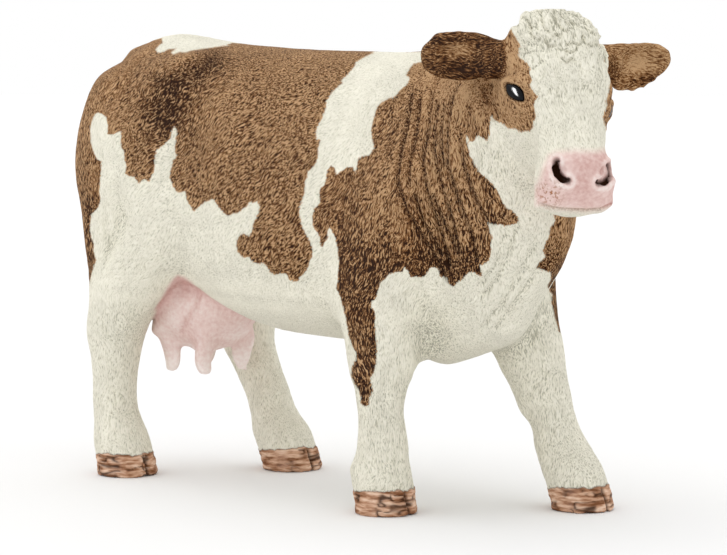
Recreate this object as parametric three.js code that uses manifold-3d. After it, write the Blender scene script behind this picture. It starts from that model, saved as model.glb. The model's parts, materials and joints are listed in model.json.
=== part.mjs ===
// A toy farm animal: a walking cow with its head turned to its right, moulded in solid soft vinyl.
// Millimetres, +Z up, +X towards the head, +Y to the animal's left. The hooves stand on z = 0.
//
// The figure is sculpted once, as a modeller lays wax over an armature: bones and muscles form a field
// that tells how far any point lies from the skin. The skin is then parted into the pieces that are
// moulded by themselves and glued on pegs: two trunk halves, head, ears, legs, udder and tail.

import * as THREE from "three";
import { mergeVertices } from "three/addons/utils/BufferGeometryUtils.js";
import Module from "manifold-3d";

const wasm = await Module();
wasm.setup();

// Sizes of the body
const body_length = 100;
const withers_height = 75;
const body_width = 40;
const stance_width = 25;
const leg_thickness = 8.4;
const tail_thickness = 4;

// Sizes of the head
const head_length = 28;
const head_width = 17;
const head_depth = 17;
const head_yaw = -36;
const head_pitch = 52;
const head_roll = -3;
const eye_diameter = 3.2;
const nostril_width = 1.7;
const mouth_gap = 0.6;
const ear_length = 12.8;
const ear_width = 7.8;
const ear_thickness = 3.4;
const ear_sweep = -12;

// Sizes of the udder
const udder_length = 23;
const udder_width = 18;
const udder_depth = 17;
const teat_length = 7;
const teat_thickness = 3.2;

// Sizes of the hooves
const cleft_width = 0.9;
const cleft_depth = 3.4;
const dewclaw_diameter = 2;

// Pegs, pins and the clearance between glued pieces
const leg_peg_diameter = 5;
const leg_peg_length = 8;
const head_peg_diameter = 8;
const head_peg_length = 7;
const ear_peg_diameter = 2.4;
const ear_peg_length = 3;
const udder_peg_diameter = 6;
const udder_peg_length = 5;
const tail_peg_diameter = 2.4;
const tail_peg_length = 4;
const locating_pin_diameter = 5;
const locating_pin_length = 5;
const play = 0.3;
const overrun = 2;

// Width of the facets on each moulded skin
const trunk_facet = 3.5;
const leg_facet = 2.3;
const head_facet = 1.9;
const ear_facet = 1.25;
const udder_facet = 2;
const tail_facet = 1.7;

// Where the pieces part, as shares of the body's length and height. The forelegs part at the brisket.
const hindLegPartingShare = 0.393;
const neckPartingShares = [0.42, 0, 0.907];
const neck_parting_pitch = 32;

const half_width = body_width / 2;
const half_stance = stance_width / 2;
const reach = body_length + withers_height + body_width;
const degree = Math.PI / 180;

// Places on the body are shares of its length, half width and height.
function spot([along, across, up]) {
  return [along * body_length, across * half_width, up * withers_height];
}

// The barrel of the trunk is lofted through these sections, from rump to shoulder.
const sectionShares = [
  // along, top, bottom, half width, height of the widest point, squareness of the back
  [-0.47, 0.978, 0.62, 0.50, 0.82, 2.2],
  [-0.42, 1.022, 0.53, 0.70, 0.80, 2.3],
  [-0.34, 1.040, 0.48, 0.80, 0.76, 2.5],
  [-0.25, 1.030, 0.412, 0.88, 0.70, 2.6],
  [-0.12, 1.018, 0.365, 1.00, 0.65, 2.5],
  [0.00, 1.012, 0.355, 1.03, 0.63, 2.3],
  [0.12, 1.008, 0.355, 0.97, 0.63, 2.2],
  [0.22, 0.995, 0.37, 0.86, 0.64, 2.1],
  [0.30, 0.960, 0.41, 0.70, 0.66, 2.0],
];
const bellySquareness = 2.05;
const barrelEndShare = 0.3;

// Muscles: a bone runs from one place to another, an egg lies at one place and may tip nose-down.
// Thickness is a share of the body's half width.
const buttockShares = { at: [-0.40, 0, 0.827], thick: [0.70, 0.70, 0.80] };
const rumpShares = [
  buttockShares,
  { from: [-0.25, 0.60, 0.945], to: [-0.31, 0.56, 0.930], thick: [0.23, 0.23] },
  { from: [-0.50, 0.33, 0.915], to: [-0.48, 0.35, 0.915], thick: [0.20, 0.20] },
  { from: [-0.38, 0, 0.998], to: [-0.505, 0, 0.988], thick: [0.17, 0.16] },
];
const flankHollowShares = { at: [-0.22, 1.16, 0.85], thick: [0.46, 0.36, 0.55], tip: 20 };
const brisketShares = { from: [0.25, 0, 0.395], to: [0.34, 0, 0.44], thick: [0.31, 0.26] };
const neckShares = [
  { at: [0.30, -0.03, 0.72], thick: [0.85, 0.65, 1.10], tip: -30 },
  { from: [0.34, -0.05, 0.80], to: [0.47, -0.14, 0.925], thick: [0.65, 0.44] },
  { from: [0.30, 0, 0.587], to: [0.49, -0.18, 0.80], thick: [0.45, 0.32] },
  brisketShares,
  { from: [0.34, 0, 0.45], to: [0.43, -0.03, 0.63], thick: [0.27, 0.24] },
];
const rumpSoftShare = 0.25;
const hollowSoftShare = 0.3;
const neckSoftShare = 0.4;
const legSoftShare = 0.28;
const headSoftShare = 0.2;

// Legs: each joint lies between the leg's root and its foot. The step says how much of the foot's
// stride it follows; forward and thick are shares of the leg's thickness, out of the half stance.
const foreRootShare = 0.27;
const foreFootShares = { right: 0.217, left: 0.43 };
const foreLegShares = [
  // step, forward, out, up, thick
  [0.00, 0.00, 0.84, 0.693, 1.02],
  [0.40, -0.57, 0.90, 0.480, 0.92],
  [0.55, -0.37, 0.97, 0.333, 0.66],
  [0.61, -0.21, 1.00, 0.244, 0.53],
  [0.75, -0.17, 1.00, 0.160, 0.48],
  [0.88, -0.12, 1.00, 0.107, 0.51],
  [0.96, -0.05, 1.00, 0.067, 0.56],
  [1.00, 0.06, 1.00, 0.017, 0.60],
];
const hindRootShare = -0.38;
const hindFootShares = { right: -0.41, left: -0.24 };
const hindLegShares = [
  [0.00, 0.00, 0.72, 0.800, 1.07],
  [0.37, 1.20, 0.96, 0.610, 0.82],
  [0.40, -0.29, 0.98, 0.420, 0.71],
  [0.47, -0.48, 1.00, 0.353, 0.62],
  [0.52, -0.50, 1.00, 0.300, 0.53],
  [0.85, -0.43, 1.00, 0.173, 0.45],
  [0.90, -0.25, 1.00, 0.097, 0.53],
  [0.97, -0.12, 1.00, 0.064, 0.58],
  [1.00, 0.02, 1.00, 0.017, 0.62],
];
const hamstringShares = [
  [0.14, -0.90, 0.80, 0.600, 0.74],
  [0.30, -0.62, 0.94, 0.440, 0.59],
];
const hockPointShares = [
  [0.47, -0.72, 0.98, 0.395, 0.42],
  [0.50, -0.78, 0.98, 0.330, 0.45],
];
const thighShares = { joint: [0.14, -0.50, 0.76, 0.72, 0], thick: [0.62, 0.38, 0.90], tip: -8 };
const heelShares = { joint: [1.00, -0.36, 1.00, 0.088, 0], thick: [0.17, 0.18, 0.16], tip: 0 };
const legJointSoftShare = 0.18;

// Head: u runs down the face from the poll, v to the animal's left, w out of the forehead. Places are
// shares of the head's length, width and depth; thickness is a share of its width.
const headRootShares = [0.493, -0.18, 1.0];
const headShares = [
  { at: [0.24, 0, 0], thick: [0.55, 0.47, 0.47] },
  { from: [0.24, 0, 0.07], to: [0.77, 0, -0.01], thick: [0.375, 0.285] },
  { at: [0.34, 0.32, 0.14], thick: [0.24, 0.165, 0.175] },
  { at: [0.27, 0.27, -0.27], thick: [0.47, 0.21, 0.38] },
  { from: [0.22, 0.15, -0.44], to: [0.73, 0.07, -0.21], thick: [0.20, 0.175] },
  { at: [0.83, 0, -0.035], thick: [0.27, 0.36, 0.305] },
  { at: [0.885, 0.22, 0.08], thick: [0.15, 0.14, 0.14] },
  { at: [0.91, 0.18, -0.14], thick: [0.17, 0.17, 0.15] },
  { at: [0.84, 0.06, -0.30], thick: [0.21, 0.20, 0.13] },
  { at: [0.05, 0, 0.20], thick: [0.38, 0.425, 0.32] },
];
const headJoinShare = 0.14;
const eyeShares = [0.335, 0.42, 0.18];
const nostrilShares = [0.91, 0.215, 0.19];
const mouthShares = [1.0, 0, -0.23];

// Ears: a scooped leaf on a short root. Along, up and forward are shares of the ear's own sizes.
const earRootShares = [0.035, 0.41, 0];
const earPartingShare = 0.50;
const leafShares = { along: 0.56, thick: 0.5 };
const scoopShares = { along: 0.60, up: 0.02, forward: 0.52, thick: [0.38, 0.34, 0.42] };
const earStemShares = { length: 0.5, root: 0.36, tip: 0.30 };

// Udder: a bag with four teats
const udderPlaceShares = [-0.325, 0, 0.41];
const teatShares = { along: [-0.22, 0.21], across: 0.29 };

// Tail: it hangs down the buttocks. Ahead of their hindmost point and thick are shares of the tail's
// thickness, across and up are places on the body.
const tailShares = [
  // ahead, across, up, thick
  [1.45, 0, 0.962, 0.76],
  [0.38, -0.01, 0.935, 0.64],
  [0.00, -0.05, 0.86, 0.50],
  [-0.05, -0.10, 0.72, 0.42],
  [0.00, -0.17, 0.56, 0.40],
  [0.00, -0.22, 0.45, 0.46],
  [0.00, -0.25, 0.38, 0.58],
  [0.05, -0.27, 0.31, 0.48],
  [0.12, -0.28, 0.25, 0.24],
];

// Fields: negative inside, positive outside, in millimetres

function bone(from, to, fromRadius, toRadius) {
  const [ax, ay, az] = from;
  const [bx, by, bz] = [to[0] - ax, to[1] - ay, to[2] - az];
  const squared = bx * bx + by * by + bz * bz;
  return (x, y, z) => {
    const [px, py, pz] = [x - ax, y - ay, z - az];
    const t = Math.min(Math.max((px * bx + py * by + pz * bz) / squared, 0), 1);
    const [qx, qy, qz] = [px - t * bx, py - t * by, pz - t * bz];
    return Math.sqrt(qx * qx + qy * qy + qz * qz) - fromRadius - t * (toRadius - fromRadius);
  };
}

function egg([cx, cy, cz], [rx, ry, rz], tip = 0) {
  const cosine = Math.cos(tip * degree);
  const sine = Math.sin(tip * degree);
  return (x, y, z) => {
    const [dx, dy, dz] = [x - cx, y - cy, z - cz];
    const a = (dx * cosine - dz * sine) / rx;
    const b = dy / ry;
    const c = (dx * sine + dz * cosine) / rz;
    const size = Math.sqrt(a * a + b * b + c * c);
    if (size === 0) return -Math.min(rx, ry, rz);
    return (size * (size - 1)) / Math.sqrt((a / rx) ** 2 + (b / ry) ** 2 + (c / rz) ** 2);
  };
}

// Two masses run into each other over a soft fillet.
function blend(a, b, soft) {
  const near = Math.max(soft - Math.abs(a - b), 0) / soft;
  return Math.min(a, b) - (near ** 3 * soft) / 6;
}

function carve(a, b, soft) {
  return -blend(-a, b, soft);
}

function blended(fields, soft) {
  return (x, y, z) => {
    let d = reach;
    for (const field of fields) d = blend(d, field(x, y, z), soft);
    return d;
  };
}

// One muscle from its table row, placed and sized by the frame that it belongs to
function muscle(share, place, girth) {
  if (share.at) return egg(place(share.at), share.thick.map((t) => t * girth), share.tip);
  return bone(place(share.from), place(share.to), share.thick[0] * girth, share.thick[1] * girth);
}

// The barrel

function column(index, share) {
  const rows = sectionShares;
  const last = rows.length - 1;
  if (share <= rows[0][0]) return rows[0][index];
  if (share >= rows[last][0]) return rows[last][index];
  const i = rows.findIndex((row) => row[0] > share) - 1;
  const slope = (j) => {
    if (j === 0 || j === last) return 0;
    return (rows[j + 1][index] - rows[j - 1][index]) / (rows[j + 1][0] - rows[j - 1][0]);
  };
  const step = rows[i + 1][0] - rows[i][0];
  const t = (share - rows[i][0]) / step;
  const ease = t * t * (3 - 2 * t);
  const swing = step * (slope(i) * t * (1 - t) ** 2 + slope(i + 1) * t * t * (t - 1));
  return rows[i][index] * (1 - ease) + rows[i + 1][index] * ease + swing;
}

function barrel(x, y, z) {
  const first = sectionShares[0][0] * body_length;
  const last = sectionShares[sectionShares.length - 1][0] * body_length;
  const inside = Math.min(Math.max(x, first), last);
  const share = inside / body_length;
  const waist = column(4, share) * withers_height;
  const above = z > waist;
  const rise = Math.abs(column(above ? 1 : 2, share) * withers_height - waist);
  const width = column(3, share) * half_width;
  const power = above ? column(5, share) : bellySquareness;
  const norm = ((Math.abs(y) / width) ** power + (Math.abs(z - waist) / rise) ** power) ** (1 / power);
  const round = barrelEndShare * half_width;
  const side = norm === 0 ? -width : Math.sqrt(y * y + (z - waist) ** 2) * (1 - 1 / norm);
  const past = Math.abs(x - inside);
  const outer = Math.sqrt(Math.max(side + round, 0) ** 2 + past ** 2);
  return Math.min(Math.max(side + round, past), 0) + outer - round;
}

const rumpMuscles = rumpShares.map((share) => muscle(share, spot, half_width));
const rump = blended(rumpMuscles, rumpSoftShare * half_width);
const flankHollow = muscle(flankHollowShares, spot, half_width);
const neckMuscles = neckShares.map((share) => muscle(share, spot, half_width));
const neck = blended(neckMuscles, neckSoftShare * half_width);

function torso(x, y, z) {
  const side = Math.abs(y);
  const body = blend(barrel(x, y, z), rump(x, side, z), rumpSoftShare * half_width);
  return carve(body, flankHollow(x, side, z), hollowSoftShare * half_width);
}

// Legs

function legJoint([step, forward, out, up], root, foot, side) {
  const along = (root + step * (foot - root)) * body_length + forward * leg_thickness;
  return [along, side * out * half_stance, up * withers_height];
}

function limb(rows, root, foot, side) {
  const joints = rows.map((row) => legJoint(row, root, foot, side));
  return rows.slice(1).map((row, i) => {
    return bone(joints[i], joints[i + 1], rows[i][4] * leg_thickness, row[4] * leg_thickness);
  });
}

function legEgg({ joint, thick, tip }, root, foot, side) {
  return egg(legJoint(joint, root, foot, side), thick.map((t) => t * half_width), tip);
}

function foreLeg(foot, side) {
  const bones = limb(foreLegShares, foreRootShare, foot, side);
  const heel = legEgg(heelShares, foreRootShare, foot, side);
  return blended([...bones, heel], legJointSoftShare * leg_thickness);
}

function hindLeg(foot, side) {
  const rows = [hindLegShares, hamstringShares, hockPointShares];
  const bones = rows.flatMap((table) => limb(table, hindRootShare, foot, side));
  const eggs = [thighShares, heelShares].map((share) => legEgg(share, hindRootShare, foot, side));
  return blended([...bones, ...eggs], legJointSoftShare * leg_thickness);
}

function legOf(fore, foot, side) {
  return { field: fore ? foreLeg(foot, side) : hindLeg(foot, side), foot, side, fore };
}

const legs = {
  fore_leg_right: legOf(true, foreFootShares.right, -1),
  fore_leg_left: legOf(true, foreFootShares.left, 1),
  hind_leg_right: legOf(false, hindFootShares.right, -1),
  hind_leg_left: legOf(false, hindFootShares.left, 1),
};

// Head and ears

const headRoot = new THREE.Vector3(...spot(headRootShares));
const headTurn = new THREE.Matrix4().makeRotationZ(head_yaw * degree);
headTurn.multiply(new THREE.Matrix4().makeRotationY(head_pitch * degree));
headTurn.multiply(new THREE.Matrix4().makeRotationX(head_roll * degree));
const headMatrix = headTurn.clone().setPosition(headRoot);
const headInverse = headMatrix.clone().invert();

function headSpot([down, across, out]) {
  return [down * head_length, across * head_width, out * head_depth];
}

const headMuscles = headShares.map((share) => muscle(share, headSpot, head_width));
const skull = blended(headMuscles, headJoinShare * head_width);

// An ear stands in its own frame: along the ear, up, and forward out of its scoop.
const earRoot = headSpot(earRootShares);
const leaf = egg(
  [leafShares.along * ear_length, 0, 0],
  [leafShares.thick * ear_length, leafShares.thick * ear_width, leafShares.thick * ear_thickness],
);
const scoop = egg(
  [scoopShares.along * ear_length, scoopShares.up * ear_width, scoopShares.forward * ear_thickness],
  [scoopShares.thick[0] * ear_length, scoopShares.thick[1] * ear_width, scoopShares.thick[2] * ear_thickness],
);
const earStem = bone(
  [0, 0, 0],
  [earStemShares.length * ear_length, 0, 0],
  earStemShares.root * ear_width,
  earStemShares.tip * ear_width,
);
const earSoftShare = 0.3;

function ear(u, v, w) {
  const along = Math.abs(v) - earRoot[1];
  const [down, out] = [u - earRoot[0], w - earRoot[2]];
  const forward = down * Math.cos(head_pitch * degree) + out * Math.sin(head_pitch * degree);
  const up = out * Math.cos(head_pitch * degree) - down * Math.sin(head_pitch * degree);
  const swept = forward - along * Math.tan(ear_sweep * degree);
  const outer = blend(leaf(along, up, swept), earStem(along, up, swept), earSoftShare * ear_thickness);
  return carve(outer, scoop(along, up, swept), earSoftShare * ear_thickness);
}

// The rows of the matrix that turns a place on the body into a place on the head
const toHead = [0, 1, 2].map((row) => [0, 1, 2, 3].map((column) => headInverse.elements[row + 4 * column]));

function head(x, y, z) {
  const [u, v, w] = toHead.map((row) => row[0] * x + row[1] * y + row[2] * z + row[3]);
  return { skull: skull(u, Math.abs(v), w), ear: ear(u, v, w) };
}

// The skin of the whole figure without its ears, and of the ears with the skull that they stand on
function skin(x, y, z) {
  let d = torso(x, y, z);
  d = blend(d, neck(x, y, z), neckSoftShare * half_width);
  for (const leg of Object.values(legs)) d = blend(d, leg.field(x, y, z), legSoftShare * half_width);
  return blend(d, head(x, y, z).skull, headSoftShare * half_width);
}

function earedSkin(x, y, z) {
  return blend(skin(x, y, z), head(x, y, z).ear, earSoftShare * ear_width);
}

function earSkin(x, y, z) {
  const parts = head(x, y, z);
  return blend(parts.skull, parts.ear, earSoftShare * ear_width);
}

// Udder and tail are sculpted by themselves and seated in the skin.

const udderPlace = spot(udderPlaceShares);
const udderBag = egg(udderPlace, [udder_length / 2, udder_width / 2, udder_depth / 2]);
const teatTaperShares = [1.3, 0.85];
const udderSoftShare = 0.6;

function teat(along, side) {
  const x = udderPlace[0] + along * udder_length;
  const y = side * teatShares.across * udder_width;
  const low = udderPlace[2] - udder_depth / 2;
  const radius = teat_thickness / 2;
  const top = [x, y, low + teat_length / 2];
  return bone(top, [x, y, low - teat_length / 2], radius * teatTaperShares[0], radius * teatTaperShares[1]);
}

const teats = teatShares.along.flatMap((along) => [teat(along, -1), teat(along, 1)]);
const udderField = blended([udderBag, ...teats], udderSoftShare * teat_thickness);

const hindmost = spot(buttockShares.at)[0] - buttockShares.thick[0] * half_width;
const tailJoints = tailShares.map(([ahead, across, up]) => {
  const [, y, z] = spot([0, across, up]);
  return [hindmost + ahead * tail_thickness, y, z];
});
const tailBones = tailShares.slice(1).map((row, i) => {
  return bone(tailJoints[i], tailJoints[i + 1], tailShares[i][3] * tail_thickness, row[3] * tail_thickness);
});
const tailSoftShare = 0.3;
const tailField = blended(tailBones, tailSoftShare * tail_thickness);

// Skinning: a net of facets of one width is drawn over a field, and its knots are pulled onto the skin.

function gridOf(low, high, facet) {
  const count = low.map((l, i) => Math.ceil((high[i] - l) / facet) + 1);
  const index = (i, j, k) => i + count[0] * (j + count[1] * k);
  const place = (i, j, k) => [low[0] + i * facet, low[1] + j * facet, low[2] + k * facet];
  return { count, index, place, facet };
}

function sample(field, grid) {
  const [nx, ny, nz] = grid.count;
  const values = new Float32Array(nx * ny * nz).fill(grid.facet);
  for (let k = 1; k < nz - 1; k++) {
    for (let j = 1; j < ny - 1; j++) {
      for (let i = 1; i < nx - 1; i++) values[grid.index(i, j, k)] = field(...grid.place(i, j, k));
    }
  }
  return values;
}

const pullShare = 0.02;
const pullLimitShare = 0.3;

// A square whose corners lie inside and outside by turns would pinch the skin onto itself, so the
// nearer of its outer corners is taken inside.
function unpinched(values, grid) {
  const steps = [1, grid.count[0], grid.count[0] * grid.count[1]];
  const least = pullShare * grid.facet;
  let pinched = true;
  while (pinched) {
    pinched = false;
    for (let n = 0; n < values.length - steps[1] - steps[2]; n++) {
      for (const [a, b] of [[steps[0], steps[1]], [steps[0], steps[2]], [steps[1], steps[2]]]) {
        const square = [n, n + a, n + a + b, n + b];
        const signs = square.map((corner) => values[corner] < 0);
        if (signs[0] !== signs[2] || signs[1] !== signs[3] || signs[0] === signs[1]) continue;
        const outer = square.filter((corner) => values[corner] >= 0);
        const nearer = values[outer[0]] < values[outer[1]] ? outer[0] : outer[1];
        values[nearer] = Math.min(-values[nearer], -least);
        pinched = true;
      }
    }
  }
  return values;
}

const cubeCorners = [0, 1, 2, 3, 4, 5, 6, 7].map((c) => [c & 1, (c >> 1) & 1, c >> 2]);
const cubeEdges = cubeCorners.flatMap((corner, a) => {
  return [0, 1, 2].filter((axis) => corner[axis] === 0).map((axis) => [a, a | (1 << axis)]);
});

// The knot of a cube is the mean of the places where the skin crosses the cube's edges.
function knotOf(values, grid, i, j, k) {
  const at = (c) => values[grid.index(i + cubeCorners[c][0], j + cubeCorners[c][1], k + cubeCorners[c][2])];
  const sum = [0, 0, 0];
  let crossings = 0;
  for (const [a, b] of cubeEdges) {
    if (at(a) < 0 === at(b) < 0) continue;
    const t = at(a) / (at(a) - at(b));
    for (let n = 0; n < 3; n++) sum[n] += cubeCorners[a][n] + t * (cubeCorners[b][n] - cubeCorners[a][n]);
    crossings++;
  }
  if (crossings === 0) return null;
  return grid.place(i + sum[0] / crossings, j + sum[1] / crossings, k + sum[2] / crossings);
}

function pulled(field, knot, facet) {
  const step = pullShare * facet;
  const [x, y, z] = knot;
  const here = field(x, y, z);
  const beside = [field(x + step, y, z), field(x, y + step, z), field(x, y, z + step)];
  const slope = beside.map((distance) => (distance - here) / step);
  const steep = slope[0] ** 2 + slope[1] ** 2 + slope[2] ** 2;
  if (steep === 0) return knot;
  const limit = pullLimitShare * facet;
  return knot.map((value, n) => value - Math.min(Math.max((here * slope[n]) / steep, -limit), limit));
}

function netOver(field, low, high, facet) {
  const grid = gridOf(low, high, facet);
  const values = unpinched(sample(field, grid), grid);
  const [nx, ny, nz] = grid.count;
  const knots = new Int32Array(values.length).fill(-1);
  const positions = [];
  for (let k = 0; k < nz - 1; k++) {
    for (let j = 0; j < ny - 1; j++) {
      for (let i = 0; i < nx - 1; i++) {
        const knot = knotOf(values, grid, i, j, k);
        if (!knot) continue;
        knots[grid.index(i, j, k)] = positions.length / 3;
        positions.push(...pulled(field, knot, facet));
      }
    }
  }
  const triangles = [];
  const weave = (i, j, k, axis) => {
    if ([i, j, k].some((value, n) => n !== axis && value === 0)) return;
    const inside = values[grid.index(i, j, k)] < 0;
    const next = [i, j, k];
    next[axis] += 1;
    if (inside === values[grid.index(...next)] < 0) return;
    const ring = [[-1, -1], [0, -1], [0, 0], [-1, 0]].map(([a, b]) => {
      const cube = [i, j, k];
      cube[(axis + 1) % 3] += a;
      cube[(axis + 2) % 3] += b;
      return knots[grid.index(...cube)];
    });
    if (!inside) ring.reverse();
    triangles.push(ring[0], ring[1], ring[2], ring[0], ring[2], ring[3]);
  };
  for (let k = 0; k < nz - 1; k++) {
    for (let j = 0; j < ny - 1; j++) {
      for (let i = 0; i < nx - 1; i++) [0, 1, 2].forEach((axis) => weave(i, j, k, axis));
    }
  }
  return new wasm.Manifold(new wasm.Mesh({
    numProp: 3,
    vertProperties: new Float32Array(positions),
    triVerts: new Uint32Array(triangles),
  }));
}

// Cutters and pegs

function solidOf(geometry) {
  const bare = geometry.clone();
  bare.deleteAttribute("normal");
  bare.deleteAttribute("uv");
  const merged = mergeVertices(bare);
  return new wasm.Manifold(new wasm.Mesh({
    numProp: 3,
    vertProperties: new Float32Array(merged.attributes.position.array),
    triVerts: new Uint32Array(merged.index.array),
  }));
}

function boxBetween(low, high, matrix = new THREE.Matrix4()) {
  const size = high.map((h, i) => h - low[i]);
  const box = new THREE.BoxGeometry(...size);
  box.translate(...high.map((h, i) => (h + low[i]) / 2));
  return solidOf(box.applyMatrix4(matrix));
}

const pegSides = 12;

function rod(from, to, diameter) {
  const start = new THREE.Vector3(...from);
  const end = new THREE.Vector3(...to);
  const axis = end.clone().sub(start);
  const cylinder = new THREE.CylinderGeometry(diameter / 2, diameter / 2, axis.length(), pegSides);
  const up = new THREE.Vector3(0, 1, 0);
  cylinder.applyQuaternion(new THREE.Quaternion().setFromUnitVectors(up, axis.normalize()));
  cylinder.translate(...start.add(end).divideScalar(2).toArray());
  return solidOf(cylinder);
}

// A peg starts inside its own piece and stands out of it by its length.
function pegPair(root, direction, diameter, length) {
  const out = direction.clone().normalize();
  const along = (distance) => root.clone().addScaledVector(out, distance).toArray();
  return {
    peg: rod(along(-length), along(length), diameter),
    socket: rod(along(-length), along(length + play), diameter + 2 * play),
  };
}

function ball(center, radii, matrix, sides) {
  const sphere = new THREE.SphereGeometry(1, sides, sides / 2);
  sphere.scale(...radii);
  sphere.translate(...center);
  return solidOf(sphere.applyMatrix4(matrix));
}

// Partings: each stands half the play away from the true parting face.

const gap = play / 2;
const foreParting = spot(brisketShares.from)[2] - brisketShares.thick[0] * half_width;
const hindParting = hindLegPartingShare * withers_height;

// Where a leg's line crosses its parting face
function legCrossing(leg) {
  const rows = leg.fore ? foreLegShares : hindLegShares;
  const root = leg.fore ? foreRootShare : hindRootShare;
  const parting = leg.fore ? foreParting : hindParting;
  const joints = rows.map((row) => legJoint(row, root, leg.foot, leg.side));
  const i = joints.findIndex((joint) => joint[2] < parting);
  const t = (parting - joints[i][2]) / (joints[i - 1][2] - joints[i][2]);
  return joints[i].map((value, n) => value + t * (joints[i - 1][n] - value));
}

// The two blocks that hold one lower leg: a long one from the ground up to below the belly, and a
// short one round the parting. A leg is cut a gap inside them, the trunk a gap outside.
const legBlockShares = { inner: 0.25, behind: 1.15, ahead: 1.1, belly: 0.8, lap: 0.7 };

function legBlock(leg, grow) {
  const crossing = legCrossing(leg);
  const foot = leg.foot * body_length;
  const sides = [leg.side * legBlockShares.inner * half_stance, leg.side * body_width];
  const [near, far] = [Math.min(...sides), Math.max(...sides)];
  const behind = legBlockShares.behind * leg_thickness;
  const ahead = legBlockShares.ahead * leg_thickness;
  const belly = legBlockShares.belly * crossing[2];
  const low = boxBetween(
    [Math.min(foot, crossing[0]) - behind, near, -reach],
    [Math.max(foot, crossing[0]) + ahead, far, belly],
  );
  const top = boxBetween(
    [crossing[0] - behind, near, legBlockShares.lap * crossing[2]],
    [crossing[0] + ahead, far, crossing[2] + grow],
  );
  return low.add(top);
}

const neckPoint = new THREE.Vector3(...spot(neckPartingShares));
const neckMatrix = new THREE.Matrix4().makeRotationY(-neck_parting_pitch * degree).setPosition(neckPoint);
const neckAxis = new THREE.Vector3(1, 0, 0).transformDirection(neckMatrix);

// Everything in front of the neck's parting face
function headBlock(grow) {
  return boxBetween([-grow, -reach, -reach], [reach, reach, reach], neckMatrix);
}

// Everything outside of one ear's parting face
function earBlock(side, grow) {
  const inner = earPartingShare * head_width - grow;
  const sides = [side * inner, side * (inner + ear_length + ear_width)];
  const low = [earRoot[0] - ear_width - grow, Math.min(...sides), -head_depth];
  const high = [earRoot[0] + ear_width + grow, Math.max(...sides), head_depth];
  return boxBetween(low, high, headMatrix);
}

function cornersOf(low, high, matrix = new THREE.Matrix4()) {
  const box = new THREE.Box3(new THREE.Vector3(...low), new THREE.Vector3(...high)).applyMatrix4(matrix);
  return [box.min.toArray(), box.max.toArray()];
}

// Pieces

const upward = new THREE.Vector3(0, 0, 1);
const forward = new THREE.Vector3(1, 0, 0);

function legPeg(name) {
  const root = new THREE.Vector3(...legCrossing(legs[name]));
  return pegPair(root, upward, leg_peg_diameter, leg_peg_length);
}

const headPeg = pegPair(neckPoint, neckAxis.clone().negate(), head_peg_diameter, head_peg_length);
const udderPegShare = 0.25;
const udderPegRise = udderPegShare * udder_depth;
const udderTop = new THREE.Vector3(udderPlace[0], 0, udderPlace[2] + udderPegRise);
const udderPeg = pegPair(udderTop, upward, udder_peg_diameter, udder_peg_length + udderPegRise);
const tailRoot = new THREE.Vector3(...tailJoints[0]);
const tailPeg = pegPair(tailRoot, forward, tail_peg_diameter, tail_peg_length + tail_thickness / 2);

function earPeg(side) {
  const root = new THREE.Vector3(earRoot[0], side * earPartingShare * head_width, earRoot[2]);
  root.applyMatrix4(headMatrix);
  const inward = new THREE.Vector3(0, -side, 0).transformDirection(headMatrix);
  return pegPair(root, inward, ear_peg_diameter, ear_peg_length);
}

function udderPiece(grow) {
  const margin = 2 * udder_facet + play;
  const size = [udder_length, udder_width, udder_depth];
  const low = udderPlace.map((value, n) => value - size[n] / 2 - margin);
  const high = udderPlace.map((value, n) => value + size[n] / 2 + margin);
  low[2] -= teat_length / 2 + teat_thickness;
  return netOver((x, y, z) => udderField(x, y, z) - grow, low, high, udder_facet);
}

function tailPiece(grow) {
  const box = new THREE.Box3().setFromPoints(tailJoints.map((joint) => new THREE.Vector3(...joint)));
  box.expandByScalar(tail_thickness + 2 * tail_facet);
  return netOver((x, y, z) => tailField(x, y, z) - grow, box.min.toArray(), box.max.toArray(), tail_facet);
}

const udderSeat = udderPiece(play);
const tailSeat = tailPiece(play);

const pinShares = [
  [-0.30, 0, 0.80],
  [0.02, 0, 0.70],
  [0.27, 0, 0.72],
];
const trunkWindowShares = { low: [-0.64, -1.35, 0.2], high: [0.62, 1.35, 1.2] };

function trunkWhole() {
  let trunk = netOver(skin, spot(trunkWindowShares.low), spot(trunkWindowShares.high), trunk_facet);
  for (const leg of Object.values(legs)) trunk = trunk.subtract(legBlock(leg, gap));
  trunk = trunk.subtract(headBlock(gap));
  trunk = trunk.subtract(udderSeat).subtract(tailSeat);
  for (const name of Object.keys(legs)) trunk = trunk.subtract(legPeg(name).socket);
  return trunk.subtract(headPeg.socket).subtract(udderPeg.socket).subtract(tailPeg.socket);
}

const trunk = trunkWhole();

function trunkHalf(side) {
  const sides = [side * gap, side * reach];
  const block = boxBetween([-reach, Math.min(...sides), -reach], [reach, Math.max(...sides), reach]);
  let half = trunk.intersect(block);
  for (const share of pinShares) {
    const root = new THREE.Vector3(...spot(share));
    const pin = pegPair(root, new THREE.Vector3(0, 1, 0), locating_pin_diameter, locating_pin_length);
    half = side < 0 ? half.add(pin.peg) : half.subtract(pin.socket);
  }
  return half;
}

const legWindowShare = 1.5;

function legPiece(name) {
  const leg = legs[name];
  const crossing = legCrossing(leg);
  const foot = [leg.foot * body_length, crossing[1], 0];
  const low = foot.map((value, n) => Math.min(value, crossing[n]) - legWindowShare * leg_thickness);
  const high = foot.map((value, n) => Math.max(value, crossing[n]) + legWindowShare * leg_thickness);
  const block = legBlock(leg, -gap).intersect(boxBetween([-reach, -reach, 0], [reach, reach, reach]));
  let piece = netOver(skin, low, high, leg_facet).intersect(block);
  piece = piece.subtract(udderSeat).subtract(tailSeat);
  return cloven(piece, leg).add(legPeg(name).peg);
}

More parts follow.
